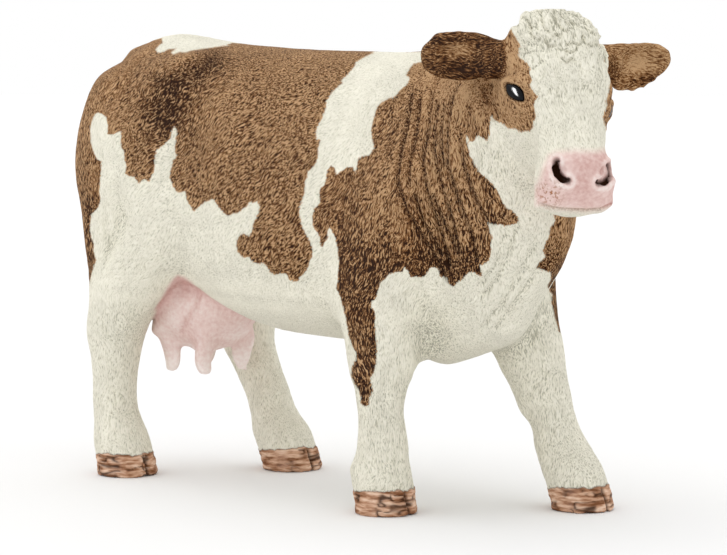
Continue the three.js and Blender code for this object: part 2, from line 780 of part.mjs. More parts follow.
const hoofShares = { toe: 0.66, cleftTop: 0.56, dewclaw: -0.58, dewclawUp: 0.85, dewclawApart: 0.8 };
const dewclawRadii = [dewclaw_diameter / 2, dewclaw_diameter / 2, dewclaw_diameter / 2];
const dewclawSides = 8;

// The hoof is parted into two claws in front, and two dewclaws stand behind the fetlock.
function cloven(piece, leg) {
  const foot = leg.foot * body_length;
  const toe = foot + hoofShares.toe * leg_thickness;
  const y = leg.side * half_stance;
  const low = [toe - cleft_depth, y - cleft_width / 2, -overrun];
  const high = [toe + cleft_depth, y + cleft_width / 2, hoofShares.cleftTop * leg_thickness];
  let hoof = piece.subtract(boxBetween(low, high));
  const behind = foot + hoofShares.dewclaw * leg_thickness;
  for (const side of [-1, 1]) {
    const center = [
      behind,
      y + side * hoofShares.dewclawApart * dewclaw_diameter,
      hoofShares.dewclawUp * leg_thickness,
    ];
    hoof = hoof.add(ball(center, dewclawRadii, new THREE.Matrix4(), dewclawSides));
  }
  return hoof;
}

const headWindowShares = { low: [-0.5, -0.75, -1.0], high: [1.3, 0.75, 0.8] };
const nostrilThickShares = [1, 0.62, 1];
const mouthSlotShares = { behind: 0.1, half: 0.3 };
const eyeRadii = [eye_diameter / 2, eye_diameter / 2, eye_diameter / 2];
const eyeSides = 12;
const nostrilSides = 10;

function headPiece() {
  const window = cornersOf(headSpot(headWindowShares.low), headSpot(headWindowShares.high), headMatrix);
  let piece = netOver(earedSkin, ...window, head_facet).intersect(headBlock(-gap));
  for (const side of [-1, 1]) {
    piece = piece.subtract(earBlock(side, gap)).subtract(earPeg(side).socket);
    const eye = headSpot([eyeShares[0], side * eyeShares[1], eyeShares[2]]);
    piece = piece.add(ball(eye, eyeRadii, headMatrix, eyeSides));
    const nostril = headSpot([nostrilShares[0], side * nostrilShares[1], nostrilShares[2]]);
    const radii = nostrilThickShares.map((share) => share * nostril_width);
    piece = piece.subtract(ball(nostril, radii, headMatrix, nostrilSides));
  }
  const mouth = headSpot(mouthShares);
  const half = mouthSlotShares.half * head_width;
  const low = [mouth[0] - mouthSlotShares.behind * head_length, -half, mouth[2] - mouth_gap / 2];
  const high = [mouth[0] + head_length, half, mouth[2] + mouth_gap / 2];
  return piece.subtract(boxBetween(low, high, headMatrix)).add(headPeg.peg);
}

function earPiece(side) {
  const sides = [side * (earRoot[1] - ear_facet), side * (earRoot[1] + ear_length + ear_width)];
  const low = [earRoot[0] - ear_width, Math.min(...sides), earRoot[2] - ear_width];
  const high = [earRoot[0] + ear_width, Math.max(...sides), earRoot[2] + ear_width];
  const piece = netOver(earSkin, ...cornersOf(low, high, headMatrix), ear_facet);
  return piece.intersect(earBlock(side, -gap)).add(earPeg(side).peg);
}

// Paint
const paint = {
  brown_coat: { color: "#7a5638", roughness: 0.75 },
  white_coat: { color: "#ece9df", roughness: 0.75 },
  pink_skin: { color: "#e9cfca", roughness: 0.6 },
};

const group = new THREE.Group();

function addPiece(name, solid, finish) {
  const { vertProperties, triVerts } = solid.getMesh();
  const geometry = new THREE.BufferGeometry();
  geometry.setAttribute("position", new THREE.BufferAttribute(vertProperties, 3));
  geometry.setIndex(new THREE.BufferAttribute(triVerts, 1));
  geometry.computeVertexNormals();
  const mesh = new THREE.Mesh(geometry, new THREE.MeshStandardMaterial({ ...finish, metalness: 0 }));
  mesh.name = name;
  group.add(mesh);
}

addPiece("trunk_left", trunkHalf(1), paint.brown_coat);
addPiece("trunk_right", trunkHalf(-1), paint.brown_coat);
addPiece("head", headPiece(), paint.white_coat);
addPiece("ear_left", earPiece(1), paint.brown_coat);
addPiece("ear_right", earPiece(-1), paint.brown_coat);
for (const name of Object.keys(legs)) addPiece(name, legPiece(name), paint.white_coat);
addPiece("udder", udderPiece(0).subtract(trunk).add(udderPeg.peg), paint.pink_skin);
addPiece("tail", tailPiece(0).add(tailPeg.peg), paint.brown_coat);

// The origin lies under the middle of the figure.
const box = new THREE.Box3().setFromObject(group);
group.position.set(-(box.min.x + box.max.x) / 2, -(box.min.y + box.max.y) / 2, -box.min.z);

export default group;
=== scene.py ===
# %% [markdown]
# # A painted toy cow
# A solid vinyl farm animal, about 123 mm long. Its parts are moulded by themselves and glued, and then
# the whole coat is painted over the joins, so no seam shows. The solids of the model carry the shapes.
# This lesson gives them a sculpted, hairy skin and paints it: brown patches on a cream white coat, a
# pink udder and muzzle, glossy eyes and woody hooves.

# %% Load the solids
import json
import math

import bmesh
import bpy
import numpy as np
from mathutils import Euler, Matrix, Vector
from mathutils.bvhtree import BVHTree


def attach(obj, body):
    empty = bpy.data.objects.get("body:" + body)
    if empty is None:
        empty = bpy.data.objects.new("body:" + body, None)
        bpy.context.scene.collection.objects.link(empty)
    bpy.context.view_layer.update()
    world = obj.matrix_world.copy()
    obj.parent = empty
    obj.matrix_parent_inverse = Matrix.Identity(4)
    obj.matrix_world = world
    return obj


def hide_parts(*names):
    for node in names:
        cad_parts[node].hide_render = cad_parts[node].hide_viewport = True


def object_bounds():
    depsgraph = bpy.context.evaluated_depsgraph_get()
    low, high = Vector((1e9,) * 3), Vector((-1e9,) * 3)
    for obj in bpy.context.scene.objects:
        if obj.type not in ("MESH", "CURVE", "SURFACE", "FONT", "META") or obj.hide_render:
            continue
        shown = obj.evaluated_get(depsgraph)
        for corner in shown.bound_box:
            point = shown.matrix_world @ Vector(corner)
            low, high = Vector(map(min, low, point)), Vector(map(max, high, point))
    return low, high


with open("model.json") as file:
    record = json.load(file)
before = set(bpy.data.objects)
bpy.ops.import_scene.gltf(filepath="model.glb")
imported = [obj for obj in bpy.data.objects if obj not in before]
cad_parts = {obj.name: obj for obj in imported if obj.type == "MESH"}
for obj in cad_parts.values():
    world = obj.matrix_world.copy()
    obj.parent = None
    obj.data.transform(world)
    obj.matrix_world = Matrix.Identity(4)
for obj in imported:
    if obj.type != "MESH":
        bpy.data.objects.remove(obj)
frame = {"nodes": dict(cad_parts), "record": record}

MM = 0.001
cad_box = [list(corner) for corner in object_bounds()]
node_names = sorted(frame["nodes"])
print("solids:", ", ".join(node_names))

# %% [markdown]
# ## The camera
# The place of the camera was solved from the four hooves, whose soles lie on the floor. A long lens
# from 43 degrees round the cow's right side, tilted a few degrees down, gives the photograph's view.
# The same camera also turns a point of the skin into a pixel, because the outlines of the coat's
# patches are named in pixels of the photograph.

# %% Set up the camera
PHOTO_WIDTH, PHOTO_HEIGHT = 727, 555
FOCAL_PIXELS = 2696
SENSOR_MM = 36
FAR_CLIP_M = 50
CAMERA_PLACE = np.array([312.6, -337.0, 72.3])
CAMERA_YAW = math.atan2(0.734, -0.68)
CAMERA_PITCH = math.radians(-4.37)

level = math.cos(CAMERA_PITCH)
sight = np.array([math.cos(CAMERA_YAW) * level, math.sin(CAMERA_YAW) * level, math.sin(CAMERA_PITCH)])
upward = np.array([0, 0, 1.0])
right = np.cross(sight, upward)
right /= np.linalg.norm(right)
above = np.cross(right, sight)


def add_object(name, data):
    """A new object with this data, linked to the scene."""
    made = bpy.data.objects.new(name, data)
    bpy.context.scene.collection.objects.link(made)
    return made


lens = bpy.data.cameras.new("photo_camera")
lens.sensor_width = SENSOR_MM
lens.lens = FOCAL_PIXELS * SENSOR_MM / PHOTO_WIDTH
lens.clip_end = FAR_CLIP_M
camera = add_object("photo_camera", lens)
camera_turn = Vector(sight).to_track_quat("-Z", "Y").to_matrix().to_4x4()
camera.matrix_world = Matrix.Translation(Vector(CAMERA_PLACE) * MM) @ camera_turn
bpy.context.scene.camera = camera


def read(items, name, kind=float, width=1):
    """This value of all the items of a mesh, as an array with this many columns."""
    out = np.empty(len(items) * width, kind)
    items.foreach_get(name, out)
    return out if width == 1 else out.reshape(-1, width)


def to_photo(points):
    """The pixel of the photograph where each point shows, and the pixels in a millimetre there."""
    away = points - CAMERA_PLACE
    depth = away @ sight
    across = PHOTO_WIDTH / 2 + FOCAL_PIXELS * (away @ right) / depth
    down = PHOTO_HEIGHT / 2 - FOCAL_PIXELS * (away @ above) / depth
    return np.stack([across, down], 1), FOCAL_PIXELS / depth


print("lens", round(lens.lens, 1), "mm")

# %% [markdown]
# ## One skin over all the solids
# The painted skin runs over the glued joins without a step. Copies of the solids are swollen by a
# fifth of a millimetre so that they touch, joined, and remeshed as one closed skin. Voxels of about a
# third of a millimetre keep the teats, the ears and the tail.

# %% Remesh the joined solids
VOXEL = 0.36
SWELL = 0.2

joined = bmesh.new()
for name in node_names:
    copy = bmesh.new()
    copy.from_mesh(frame["nodes"][name].data)
    bmesh.ops.remove_doubles(copy, verts=copy.verts, dist=0.001 * MM)
    copy.normal_update()
    for vertex in copy.verts:
        vertex.co += vertex.normal * SWELL * MM
    swollen = bpy.data.meshes.new(name + "_swollen")
    copy.to_mesh(swollen)
    copy.free()
    joined.from_mesh(swollen)
    bpy.data.meshes.remove(swollen)
rough = bpy.data.meshes.new("rough_skin")
joined.to_mesh(rough)
joined.free()
skin = add_object("skin", rough)
remesh = skin.modifiers.new("remesh", "REMESH")
remesh.mode = "VOXEL"
remesh.voxel_size = VOXEL * MM
remeshed = bpy.data.meshes.new_from_object(skin.evaluated_get(bpy.context.evaluated_depsgraph_get()))
skin.modifiers.clear()
skin.data = remeshed
print("skin:", len(remeshed.vertices), "vertices,", len(remeshed.polygons), "faces")

# %% [markdown]
# ## Which part each face belongs to
# Each face of the skin takes the name of the solid that lies nearest to it. The names are then
# voted on between neighbours a few times, so that the borders between the parts run smoothly.

# %% Name the faces
VOTES = 8
corners, faces, owner = [], [], []
for index, name in enumerate(node_names):
    solid = frame["nodes"][name].data
    start = len(corners)
    corners += [vertex.co.copy() for vertex in solid.vertices]
    faces += [tuple(start + v for v in face.vertices) for face in solid.polygons]
    owner += [index] * len(solid.polygons)
solids_tree = BVHTree.FromPolygons(corners, faces)


def face_corners(mesh):
    """For each corner of each face: its vertex, and its face."""
    sides = read(mesh.polygons, "loop_total", np.int64)
    return read(mesh.loops, "vertex_index", np.int64), np.repeat(np.arange(len(sides)), sides)


label = np.array([owner[solids_tree.find_nearest(face.center)[2]] for face in skin.data.polygons])
vertex_of, face_of = face_corners(skin.data)
for vote in range(VOTES):
    votes = np.zeros((len(skin.data.polygons), len(node_names)))
    for index in range(len(node_names)):
        mine = (label == index).astype(float)
        shared = np.bincount(vertex_of, mine[face_of], len(skin.data.vertices))
        votes[:, index] = np.bincount(face_of, shared[vertex_of], len(label))
    label = votes.argmax(1)
skin.data.polygons.foreach_set("material_index", label.astype(np.int32))
print({name: int((label == i).sum()) for i, name in enumerate(node_names)})

# %% [markdown]
# ## Finer facets where the sculptor worked finest
# The head, ears, legs, udder and tail get facets of half the size. Cutting every edge between two
# faces of those parts in half does that, and the neighbours stay joined to them.

# %% Split the fine parts
FINE_PARTS = [name for name in node_names if not name.startswith("trunk")]
sculpt = bmesh.new()
sculpt.from_mesh(skin.data)
fine = {node_names.index(name) for name in FINE_PARTS}
edges = [e for e in sculpt.edges if all(face.material_index in fine for face in e.link_faces)]
bmesh.ops.subdivide_edges(sculpt, edges=edges, cuts=1, use_grid_fill=True)
sculpt.to_mesh(skin.data)
sculpt.free()
print("skin:", len(skin.data.vertices), "vertices")

# %% [markdown]
# ## Smooth the facets away
# The solids have facets of two to four millimetres. Averaging each vertex with its neighbours many
# times melts them, but it also shrinks thin parts. So the smoothed shape is smoothed once more, and
# what that second pass took away is given back.

# %% Smooth the skin
count = len(skin.data.vertices)
place = read(skin.data.vertices, "co", float, 3) / MM
first, second = read(skin.data.edges, "vertices", np.int64, 2).T
valence = np.bincount(first, minlength=count) + np.bincount(second, minlength=count)


def averaged(values):
    """Each vertex's neighbours' mean."""
    columns = values.reshape(count, -1).T
    total = [np.bincount(first, c[second], count) + np.bincount(second, c[first], count) for c in columns]
    return (np.stack(total, 1) / valence[:, None]).reshape(values.shape)


def smoothed(values, share, steps):
    for step in range(steps):
        values = values + share * (averaged(values) - values)
    return values


vertex_of, face_of = face_corners(skin.data)
face_label = read(skin.data.polygons, "material_index", np.int32)


def mask_of(parts, steps=12):
    """1 on the vertices of the parts with these names, 0 elsewhere, with a soft border."""
    wanted = np.isin(face_label, [node_names.index(name) for name in parts]).astype(float)
    touched = np.bincount(vertex_of, wanted[face_of], count) / np.bincount(vertex_of, minlength=count)
    return smoothed(touched, 0.5, steps)


on_trunk = mask_of(["trunk_left", "trunk_right"])
on_head = mask_of(["head"])
on_ears = mask_of(["ear_left", "ear_right"], 3)
on_legs = mask_of([name for name in node_names if "leg" in name])
on_udder = mask_of(["udder"], 24)
on_tail = mask_of(["tail"], 3)
SMOOTHING_STEPS = 64
share = (0.8 - 0.15 * on_trunk - 0.35 * np.maximum(on_ears, on_tail))[:, None]
once = smoothed(place, share, SMOOTHING_STEPS)
place = 2 * once - smoothed(once, share, SMOOTHING_STEPS)


def normals_of(points):
    skin.data.vertices.foreach_set("co", (points * MM).ravel())
    skin.data.update()
    return read(skin.data.vertices, "normal", float, 3)


normal = normals_of(place)
place -= SWELL * normal
normal = normals_of(place)
print("skin box:", place.min(0).round(1), place.max(0).round(1))

# %% [markdown]
# ## Push the outline into place
# The solids are simpler than the sculpted animal. What their outline lacks, two millimetres at most,
# is pushed in here as a thumb pushes clay: round a pixel of the photograph the skin moves by a few
# pixels, across and down, and the push fades out towards its two radii. A pixel is a sixth of a
# millimetre there.

# %% Push the skin
PUSHES = [
    (on_ears, [
        ((441, 37), (16, 9), (-2, -4)), ((478, 36), (18, 8), (0, -3)), ((425, 54), (9, 14), (-3.5, 0)),
        ((430, 69), (10, 8), (-2, 3)), ((446, 76), (14, 8), (0, 3)), ((492, 74), (10, 8), (-2, 5)),
        ((632, 38), (14, 8), (0, 5)), ((660, 49), (9, 9), (4, -2)), ((666, 60), (8, 10), (4, 0)),
        ((662, 75), (8, 8), (-3, 1)), ((633, 86), (14, 8), (0, 5)), ((616, 82), (9, 9), (0, 8)),
    ]),
    (on_head, [
        ((514, 34), (9, 9), (-3, -5)), ((526, 18), (9, 9), (-3, -5)), ((545, 10), (12, 8), (0, -2)),
        ((606, 42), (9, 12), (-4, 0)), ((618, 92), (10, 16), (-6, 0)), ((604, 132), (8, 14), (3, 0)),
        ((618, 172), (10, 12), (-5, 0)), ((610, 203), (8, 8), (4, 2)), ((601, 210), (8, 7), (2, 3)),
        ((541, 205), (9, 9), (-6, 4)), ((572, 214), (20, 6), (0, 3)),
    ]),
    (on_udder, [
        ((157, 326), (9, 9), (-6, 5)), ((169, 355), (10, 15), (7, 5)), ((206, 356), (12, 15), (-6, 6)),
        ((247, 350), (12, 18), (-11, 4)), ((258, 324), (9, 10), (-7, 0)),
    ]),
    (on_legs, [
        ((414, 406), (12, 26), (-9, 0)), ((529, 430), (10, 16), (5, 0)),
    ]),
]
pixel, per_mm = to_photo(place)
for part, thumbs in PUSHES:
    for centre, radii, (across, down) in thumbs:
        near = part * np.exp(-(((pixel - centre) / np.array(radii)) ** 2).sum(1))
        place += (near / per_mm)[:, None] * (across * right - down * above)
normal = normals_of(place)
print("pushes:", sum(len(thumbs) for part, thumbs in PUSHES))

# %% [markdown]
# ## Where things are on the animal
# Each vertex knows its pixel in the photograph and how squarely it faces the camera. The head has
# its own directions: down the face, to the animal's left, and out of the forehead.

# %% Measure the skin against the photograph and the head
pixel, per_mm = to_photo(place)
to_camera = CAMERA_PLACE - place
to_camera /= np.linalg.norm(to_camera, axis=1)[:, None]
facing = smoothed((normal * to_camera).sum(1), 0.5, 6)


def eased(values, low, high):
    """0 below low, 1 above high, and a soft step between."""
    t = np.clip((values - low) / (high - low), 0, 1)
    return t * t * (3 - 2 * t)


seen = eased(facing, -0.02, 0.14)

HEAD_ROOT = np.array([44.1065, -3.6, 75.0])
HEAD_TURN = Euler((math.radians(-3), math.radians(52), math.radians(-36)))
HEAD_LENGTH, HEAD_WIDTH, HEAD_DEPTH = 28, 17, 17
down_face, to_left, out_of_face = np.array(HEAD_TURN.to_matrix()).T
from_root = place - HEAD_ROOT
head_down = from_root @ down_face / HEAD_LENGTH
head_left = from_root @ to_left / HEAD_WIDTH
head_out = from_root @ out_of_face / HEAD_DEPTH
mirrored = place - 2 * (from_root @ to_left)[:, None] * to_left
mirrored_pixel, mirrored_per_mm = to_photo(mirrored)
mirrored_normal = normal - 2 * (normal @ to_left)[:, None] * to_left
mirrored_facing = (mirrored_normal * to_camera).sum(1)

# %% [markdown]
# ## The coat's patches
# Brown patches with ragged borders lie on the white coat. Their outlines were read from the
# photograph, as corners in pixels, and are laid on the skin through the camera. The far side can't be
# seen, so its patches are made up in the same manner, in millimetres along and above the floor.

# %% Name the outlines
RUMP_PATCH = [
    (60, 290), (60, 20), (392, 20), (380, 51), (373, 53), (367, 56), (361, 59), (356, 62), (355, 66), (351, 71),
    (345, 77), (341, 81), (343, 83.5), (340, 85), (333, 91), (329, 97), (326, 102), (326, 108), (323, 115), (320, 122),
    (316, 130), (316, 139), (321, 140), (318, 148), (318, 156), (316, 163), (312, 169), (308, 171), (307, 176),
    (305, 182), (305, 190), (303, 198), (300, 206), (299, 212), (300, 218), (302, 226), (305, 232), (308, 238),
    (311, 243), (313, 250), (312, 258), (310, 261), (308, 268), (305, 273), (300, 277), (299, 281), (293, 281.5),
    (289, 279), (286, 274), (281, 273.5), (275, 275), (270, 272), (267, 267), (264, 263), (257, 264), (251, 261),
    (249, 256.5), (243, 257.5), (238, 252), (236, 245), (237, 240), (240, 235), (244, 233.5), (249, 236), (252, 231),
    (253, 224), (256, 218), (258, 213), (260, 207), (257, 201), (253, 203), (249, 202), (247, 206), (243, 209),
    (238, 213), (233, 213.5), (228, 216.5), (224, 213), (219, 208), (216, 203), (213, 199), (207, 201), (201, 205),
    (196, 209), (193, 211), (190, 205), (186, 199), (185, 191), (180, 192.5), (176, 191), (173, 186), (170, 179),
    (170, 172), (172, 167), (173, 160), (177, 157), (175, 151), (175, 146), (176, 139), (177, 131), (174, 126),
    (172, 131), (171, 138), (167, 142), (164, 145), (160, 147), (156, 151), (155, 160), (154, 170), (152, 176),
    (149, 182), (144, 179), (139, 183.5), (134, 177), (129, 176), (125, 173), (127, 165), (125, 162), (124, 152),
    (121, 147), (121, 131), (116, 133), (111, 135), (107, 134), (108, 127), (106, 117), (102, 114), (98, 112.5),
    (95, 114), (92, 120), (90, 130), (91, 143), (94, 153), (97, 159), (101, 161), (101, 172), (100, 183), (99, 192),
    (101, 201), (97, 209), (91, 215), (90, 223), (91, 237), (94, 244), (93, 250), (96, 260), (94, 267), (92, 273),
    (88, 290),
]
RUMP_STRIPE = [
    (240, 44), (222, 46), (205, 48.5), (192, 50.5), (186, 52.5), (180, 52), (173, 54.5), (171, 52.5), (176, 48.5),
    (169, 49), (164, 51.5), (158, 53), (155.5, 49.5), (159, 45.5), (163, 42.5), (161.5, 38.5), (167, 35.5),
    (176, 33), (176, 20), (240, 20),
]
SHOULDER_PATCH = [
    (421, 62), (413, 64), (409, 69), (406, 75), (410, 78), (409, 81), (405, 86), (399, 91), (394, 97), (388, 98.5),
    (383, 102), (378, 105), (375, 113), (373, 121), (371, 130), (372, 139), (374, 148), (369, 155), (363, 156),
    (358, 159), (357, 166), (355, 173), (353, 167), (347, 167), (342, 171), (336, 175), (335, 168), (331, 165),
    (327, 171), (326, 179), (324, 186), (320, 188), (319, 196), (320, 203), (314, 209), (312, 217), (313, 226),
    (317, 232), (320, 238), (320, 246), (323, 247), (325, 241), (328, 238), (327, 231), (330, 227), (332, 231),
    (335, 238), (337, 246), (338, 253), (339, 262), (338, 271), (338, 280), (336, 288), (340, 296), (342, 304),
    (345, 314), (347, 326), (349, 337), (352, 345), (356, 353), (356, 359), (352, 367), (351, 375), (354, 383),
    (359, 391), (361, 397), (360, 402), (364, 406.5), (369, 405), (369, 398), (373, 391), (371, 384), (370, 378),
    (374, 372), (376, 363), (377, 350), (376, 337), (375, 325), (375, 312), (371, 307), (371, 302), (375, 300),
    (378, 292), (380, 283), (385, 279), (389, 274), (396, 272), (403, 272), (404, 267), (408, 271), (410, 277),
    (418, 277), (424, 277), (428, 271), (431, 267), (438, 268), (440, 276), (446, 279), (449, 284), (453, 287),
    (458, 282), (463, 279), (468, 273), (473, 272), (478, 275), (482, 276), (481, 270), (480, 265), (485, 264),
    (489, 260), (491, 252), (491, 245), (492, 239), (490, 231), (488, 223), (493, 225), (498, 225), (500, 224),
    (504, 226), (511, 225), (515, 224), (519, 222), (517, 216), (513, 211), (506, 208), (502, 201), (498, 192),
    (493, 185), (487, 179), (481, 174), (477, 169), (474, 163), (470, 156), (468, 146), (466, 138), (466, 135),
    (470, 141), (473, 142), (476, 137), (478, 135), (482, 138), (487, 141), (489, 134), (490, 126), (490, 119),
    (491, 115), (494, 118), (497, 122), (500, 122.5), (505, 126), (509, 129), (512, 128), (516, 129.5), (521, 133),
    (524, 131), (530, 132), (533, 127), (533, 122), (536, 118), (535, 112), (534, 106), (535, 101), (538, 97),
    (534, 92), (531, 88), (530, 85), (532, 79), (530, 73), (530, 67), (527, 63), (521, 59), (518, 56), (519, 50),
    (520, 45), (516, 38), (513, 33), (510, 27), (504, 31), (497, 35), (480, 40), (440, 55),
]
CHEST_PATCH = [
    (556, 221), (550, 200), (560, 150), (600, 150), (580, 214), (580, 262), (566, 285), (570, 300), (575, 340),
    (559, 332), (553.5, 312), (551, 298), (553, 294.5), (550, 292), (548, 286), (551, 280), (550, 272), (545, 271),
    (537, 269), (541, 262), (546, 257), (543, 251), (546, 243), (550, 237), (549, 232), (552, 226),
]
LEFT_EYE_PATCH = [
    (607, 58), (611, 66), (612, 75), (610, 82), (609, 87), (608, 95), (606, 101), (607, 106), (604, 113),
    (603, 119), (605, 126), (606.5, 131), (640, 131), (640, 58),
]
FAR_RUMP_PATCH = [
    (-29.5, 90), (-29, 80), (-33, 75), (-41, 74), (-49, 76.5), (-50, 90), (-75, 90), (-75, 34), (-53, 36), (-50, 45),
    (-49, 55), (-45, 60), (-41, 52), (-38, 46), (-33, 50), (-29, 58), (-25, 55), (-22, 46), (-17, 40), (-10, 37),
    (-4, 40), (-2, 47), (2, 52), (3, 60), (1, 68), (4, 74), (4.2, 90),
]
FAR_SHOULDER_PATCH = [
    (13.3, 90), (12, 80), (9, 73), (11, 66), (8, 58), (10, 48), (15, 40), (19, 33), (24, 31), (29, 31), (33, 36),
    (37, 40), (43, 46), (52, 50), (60, 60), (60, 90),
]
MUZZLE = [
    (534, 207), (532, 190), (538, 178), (543, 165), (548, 155), (556, 151), (575, 149), (595, 150), (604, 148),
    (612, 152), (625, 165), (625, 208), (606, 211), (587, 212.5), (560, 211), (540, 207),
]

# %% [markdown]
# A signed distance in millimetres says how far inside an outline a point lies, or with a minus how
# far outside. The paint can then make the border as sharp as a brush does, between the vertices too.

# %% Measure the distance to an outline
def signed_distance(points, outline, per_mm=1.0):
    ends = np.array(outline, float)
    inside = np.zeros(len(points), bool)
    nearest = np.full(len(points), 1e9)
    for (ax, ay), (bx, by) in zip(ends, np.roll(ends, -1, 0)):
        x, y = points[:, 0], points[:, 1]
        t = np.clip(((x - ax) * (bx - ax) + (y - ay) * (by - ay)) / ((bx - ax) ** 2 + (by - ay) ** 2), 0, 1)
        nearest = np.minimum(nearest, (x - ax - t * (bx - ax)) ** 2 + (y - ay - t * (by - ay)) ** 2)
        if ay != by:
            inside ^= ((y > ay) != (y > by)) & (x < ax + (y - ay) * (bx - ax) / (by - ay))
    return np.where(inside, 1, -1) * np.sqrt(nearest) / per_mm


def hashed(cell):
    """A repeatable number from -1 to 1 for each cell of a lattice."""
    mixed = (cell[0] * 73856093) ^ (cell[1] * 19349663) ^ (cell[2] * 83492791)
    mixed = ((mixed ^ (mixed >> 13)) * 1274126177) & 0x7FFFFFFF
    return mixed / 0x3FFFFFFF - 1


def noise(points, size, seed):
    """Soft bumps of about this size in millimetres, from -1 to 1."""
    lattice = points.T / size + seed * 31.7
    cell = np.floor(lattice).astype(np.int64)
    t = lattice - cell
    t = t * t * (3 - 2 * t)
    total = 0
    for corner in range(8):
        step = [corner >> axis & 1 for axis in range(3)]
        weight = np.prod([t[axis] if step[axis] else 1 - t[axis] for axis in range(3)], axis=0)
        total = total + weight * hashed([cell[axis] + step[axis] for axis in range(3)])
    return total


# %% Lay the patches on the skin
COAT_REACH = 4


def laid(outline):
    """The outline's signed distance where the camera sees the skin, and far outside elsewhere."""
    out = np.full(count, -30.0)
    near = facing > -0.1
    out[near] = signed_distance(pixel[near], outline, per_mm[near])
    return out


side_view = place[:, [0, 2]]
seen_coat = np.minimum(laid(RUMP_PATCH), -laid(RUMP_STRIPE))
seen_coat = np.maximum(seen_coat, laid(SHOULDER_PATCH))
body_coat = np.maximum(seen_coat, laid(CHEST_PATCH))
far_coat = np.maximum(signed_distance(side_view, FAR_RUMP_PATCH), signed_distance(side_view, FAR_SHOULDER_PATCH))
far_coat += 1.1 * noise(place, 3.2, 1) + 0.6 * noise(place, 1.3, 2)
face_seen = np.maximum(laid(SHOULDER_PATCH), laid(LEFT_EYE_PATCH))
mirror_coat = signed_distance(mirrored_pixel, SHOULDER_PATCH, mirrored_per_mm)
behind = np.minimum(6 * (0.35 - head_down), 8 * (0.05 - head_out)) + noise(place, 2.5, 3)
face_far = np.where(mirrored_facing > 0.1, mirror_coat, behind)
coat_body = seen * body_coat + (1 - seen) * far_coat
coat_head = seen * face_seen + (1 - seen) * face_far
coat = np.clip(coat_body * (1 - on_head) + coat_head * on_head, -COAT_REACH, COAT_REACH)
coat = np.maximum(coat, 2 * COAT_REACH * np.maximum(on_ears, on_tail) - COAT_REACH)
print("brown share of the vertices:", round(float((coat > 0).mean()), 3))

# %% [markdown]
# ## Pink skin, hooves, nostrils and eyes
# The udder and the muzzle are sprayed pink with soft borders. The hooves start about four
# millimetres above the floor. The nostrils are hooks, cut deep and painted dark brown.

# %% Mark the bare skin
UDDER_PLACE, UDDER_RADII = np.array([-37.7, 0, 30.75]), np.array([11.5, 9.0, 8.5])
udder_reach = np.sqrt((((place - UDDER_PLACE) / UDDER_RADII) ** 2).sum(1))
UDDER_NOTCH = [
    (146, 333), (152, 322), (159, 304), (167, 288), (173, 279), (178, 275.5), (184, 277), (192, 283), (196, 300),
    (170, 340),
]
notch = eased(signed_distance(pixel, UDDER_NOTCH, per_mm), -0.5, 0.5) * eased(facing, 0, 0.1)
udder_pink = np.maximum(on_udder, 1 - eased(udder_reach, 1.12, 1.3)) * (1 - on_legs)
udder_pink = np.maximum(udder_pink, notch)
muzzle_seen = signed_distance(pixel, MUZZLE, per_mm)
muzzle_mirrored = signed_distance(mirrored_pixel, MUZZLE, mirrored_per_mm)
muzzle_distance = np.where(facing > 0, muzzle_seen, muzzle_mirrored)
muzzle_pink = eased(muzzle_distance, -0.7, 1.1) * on_head * eased(head_down, 0.55, 0.7)
pink = np.maximum(udder_pink, muzzle_pink)

HOOF_TOP, HEEL_DROP = 4.15, 0.9
toeward = np.zeros(count)
aside = np.full(count, 9.0)
for mount in frame["record"]["mounts"]:
    foot_x, foot_y = (value / MM for value in mount["pos_m"][:2])
    here = (np.abs(place[:, 0] - foot_x) < 8) & (np.abs(place[:, 1] - foot_y) < 8)
    toeward[here] = place[here, 0] - foot_x
    aside[here] = place[here, 1] - foot_y
hoof = HOOF_TOP - place[:, 2] - HEEL_DROP * (1 - eased(toeward, -5, 1))
hoof += 0.30 * noise(place * [1, 1, 0.1], 1.6, 4) + 0.22 * noise(place * [1, 1, 0.2], 0.55, 20)

NOSTRIL_RIGHT = [(556.5, 161), (555.5, 168), (557, 174), (562, 179), (568, 181)]
NOSTRIL_LEFT = [(609.5, 166), (610.5, 172), (608.5, 178), (604, 182.5), (599, 183)]
NOSTRIL_HALF_PIXELS = 3.3
MOUTH_LINE = [(541, 204), (548, 207), (562, 209.5), (587, 210.5), (600, 209.5), (612, 204)]


def path_distance(path, where=slice(None)):
    """Pixels from each vertex, or from some of them, to an open path of the photograph."""
    there_and_back = path + path[-2:0:-1]
    return np.abs(signed_distance(pixel[where], there_and_back))


front_of_head = on_head * eased(facing, 0.0, 0.06)
nostril_pixels = np.minimum(path_distance(NOSTRIL_RIGHT), path_distance(NOSTRIL_LEFT))
nostril = (1 - eased(nostril_pixels, NOSTRIL_HALF_PIXELS - 0.6, NOSTRIL_HALF_PIXELS + 0.6)) * front_of_head
nostril_rim = np.exp(-((nostril_pixels - NOSTRIL_HALF_PIXELS - 3) / 2.2) ** 2) * front_of_head
mouth = np.exp(-(path_distance(MOUTH_LINE) / 1.3) ** 2) * front_of_head
print("vertices in the nostrils:", int((nostril > 0.5).sum()))

# %% [markdown]
# ## Sculpted hair
# The mould's maker pushed hair into the clay in strokes. A stroke is soft noise averaged along the
# way that the hair lies: fine across it and long along it. The poll has curls, so there the way
# itself turns. Long soft folds hang from the neck, and the brisket has a few in the white.

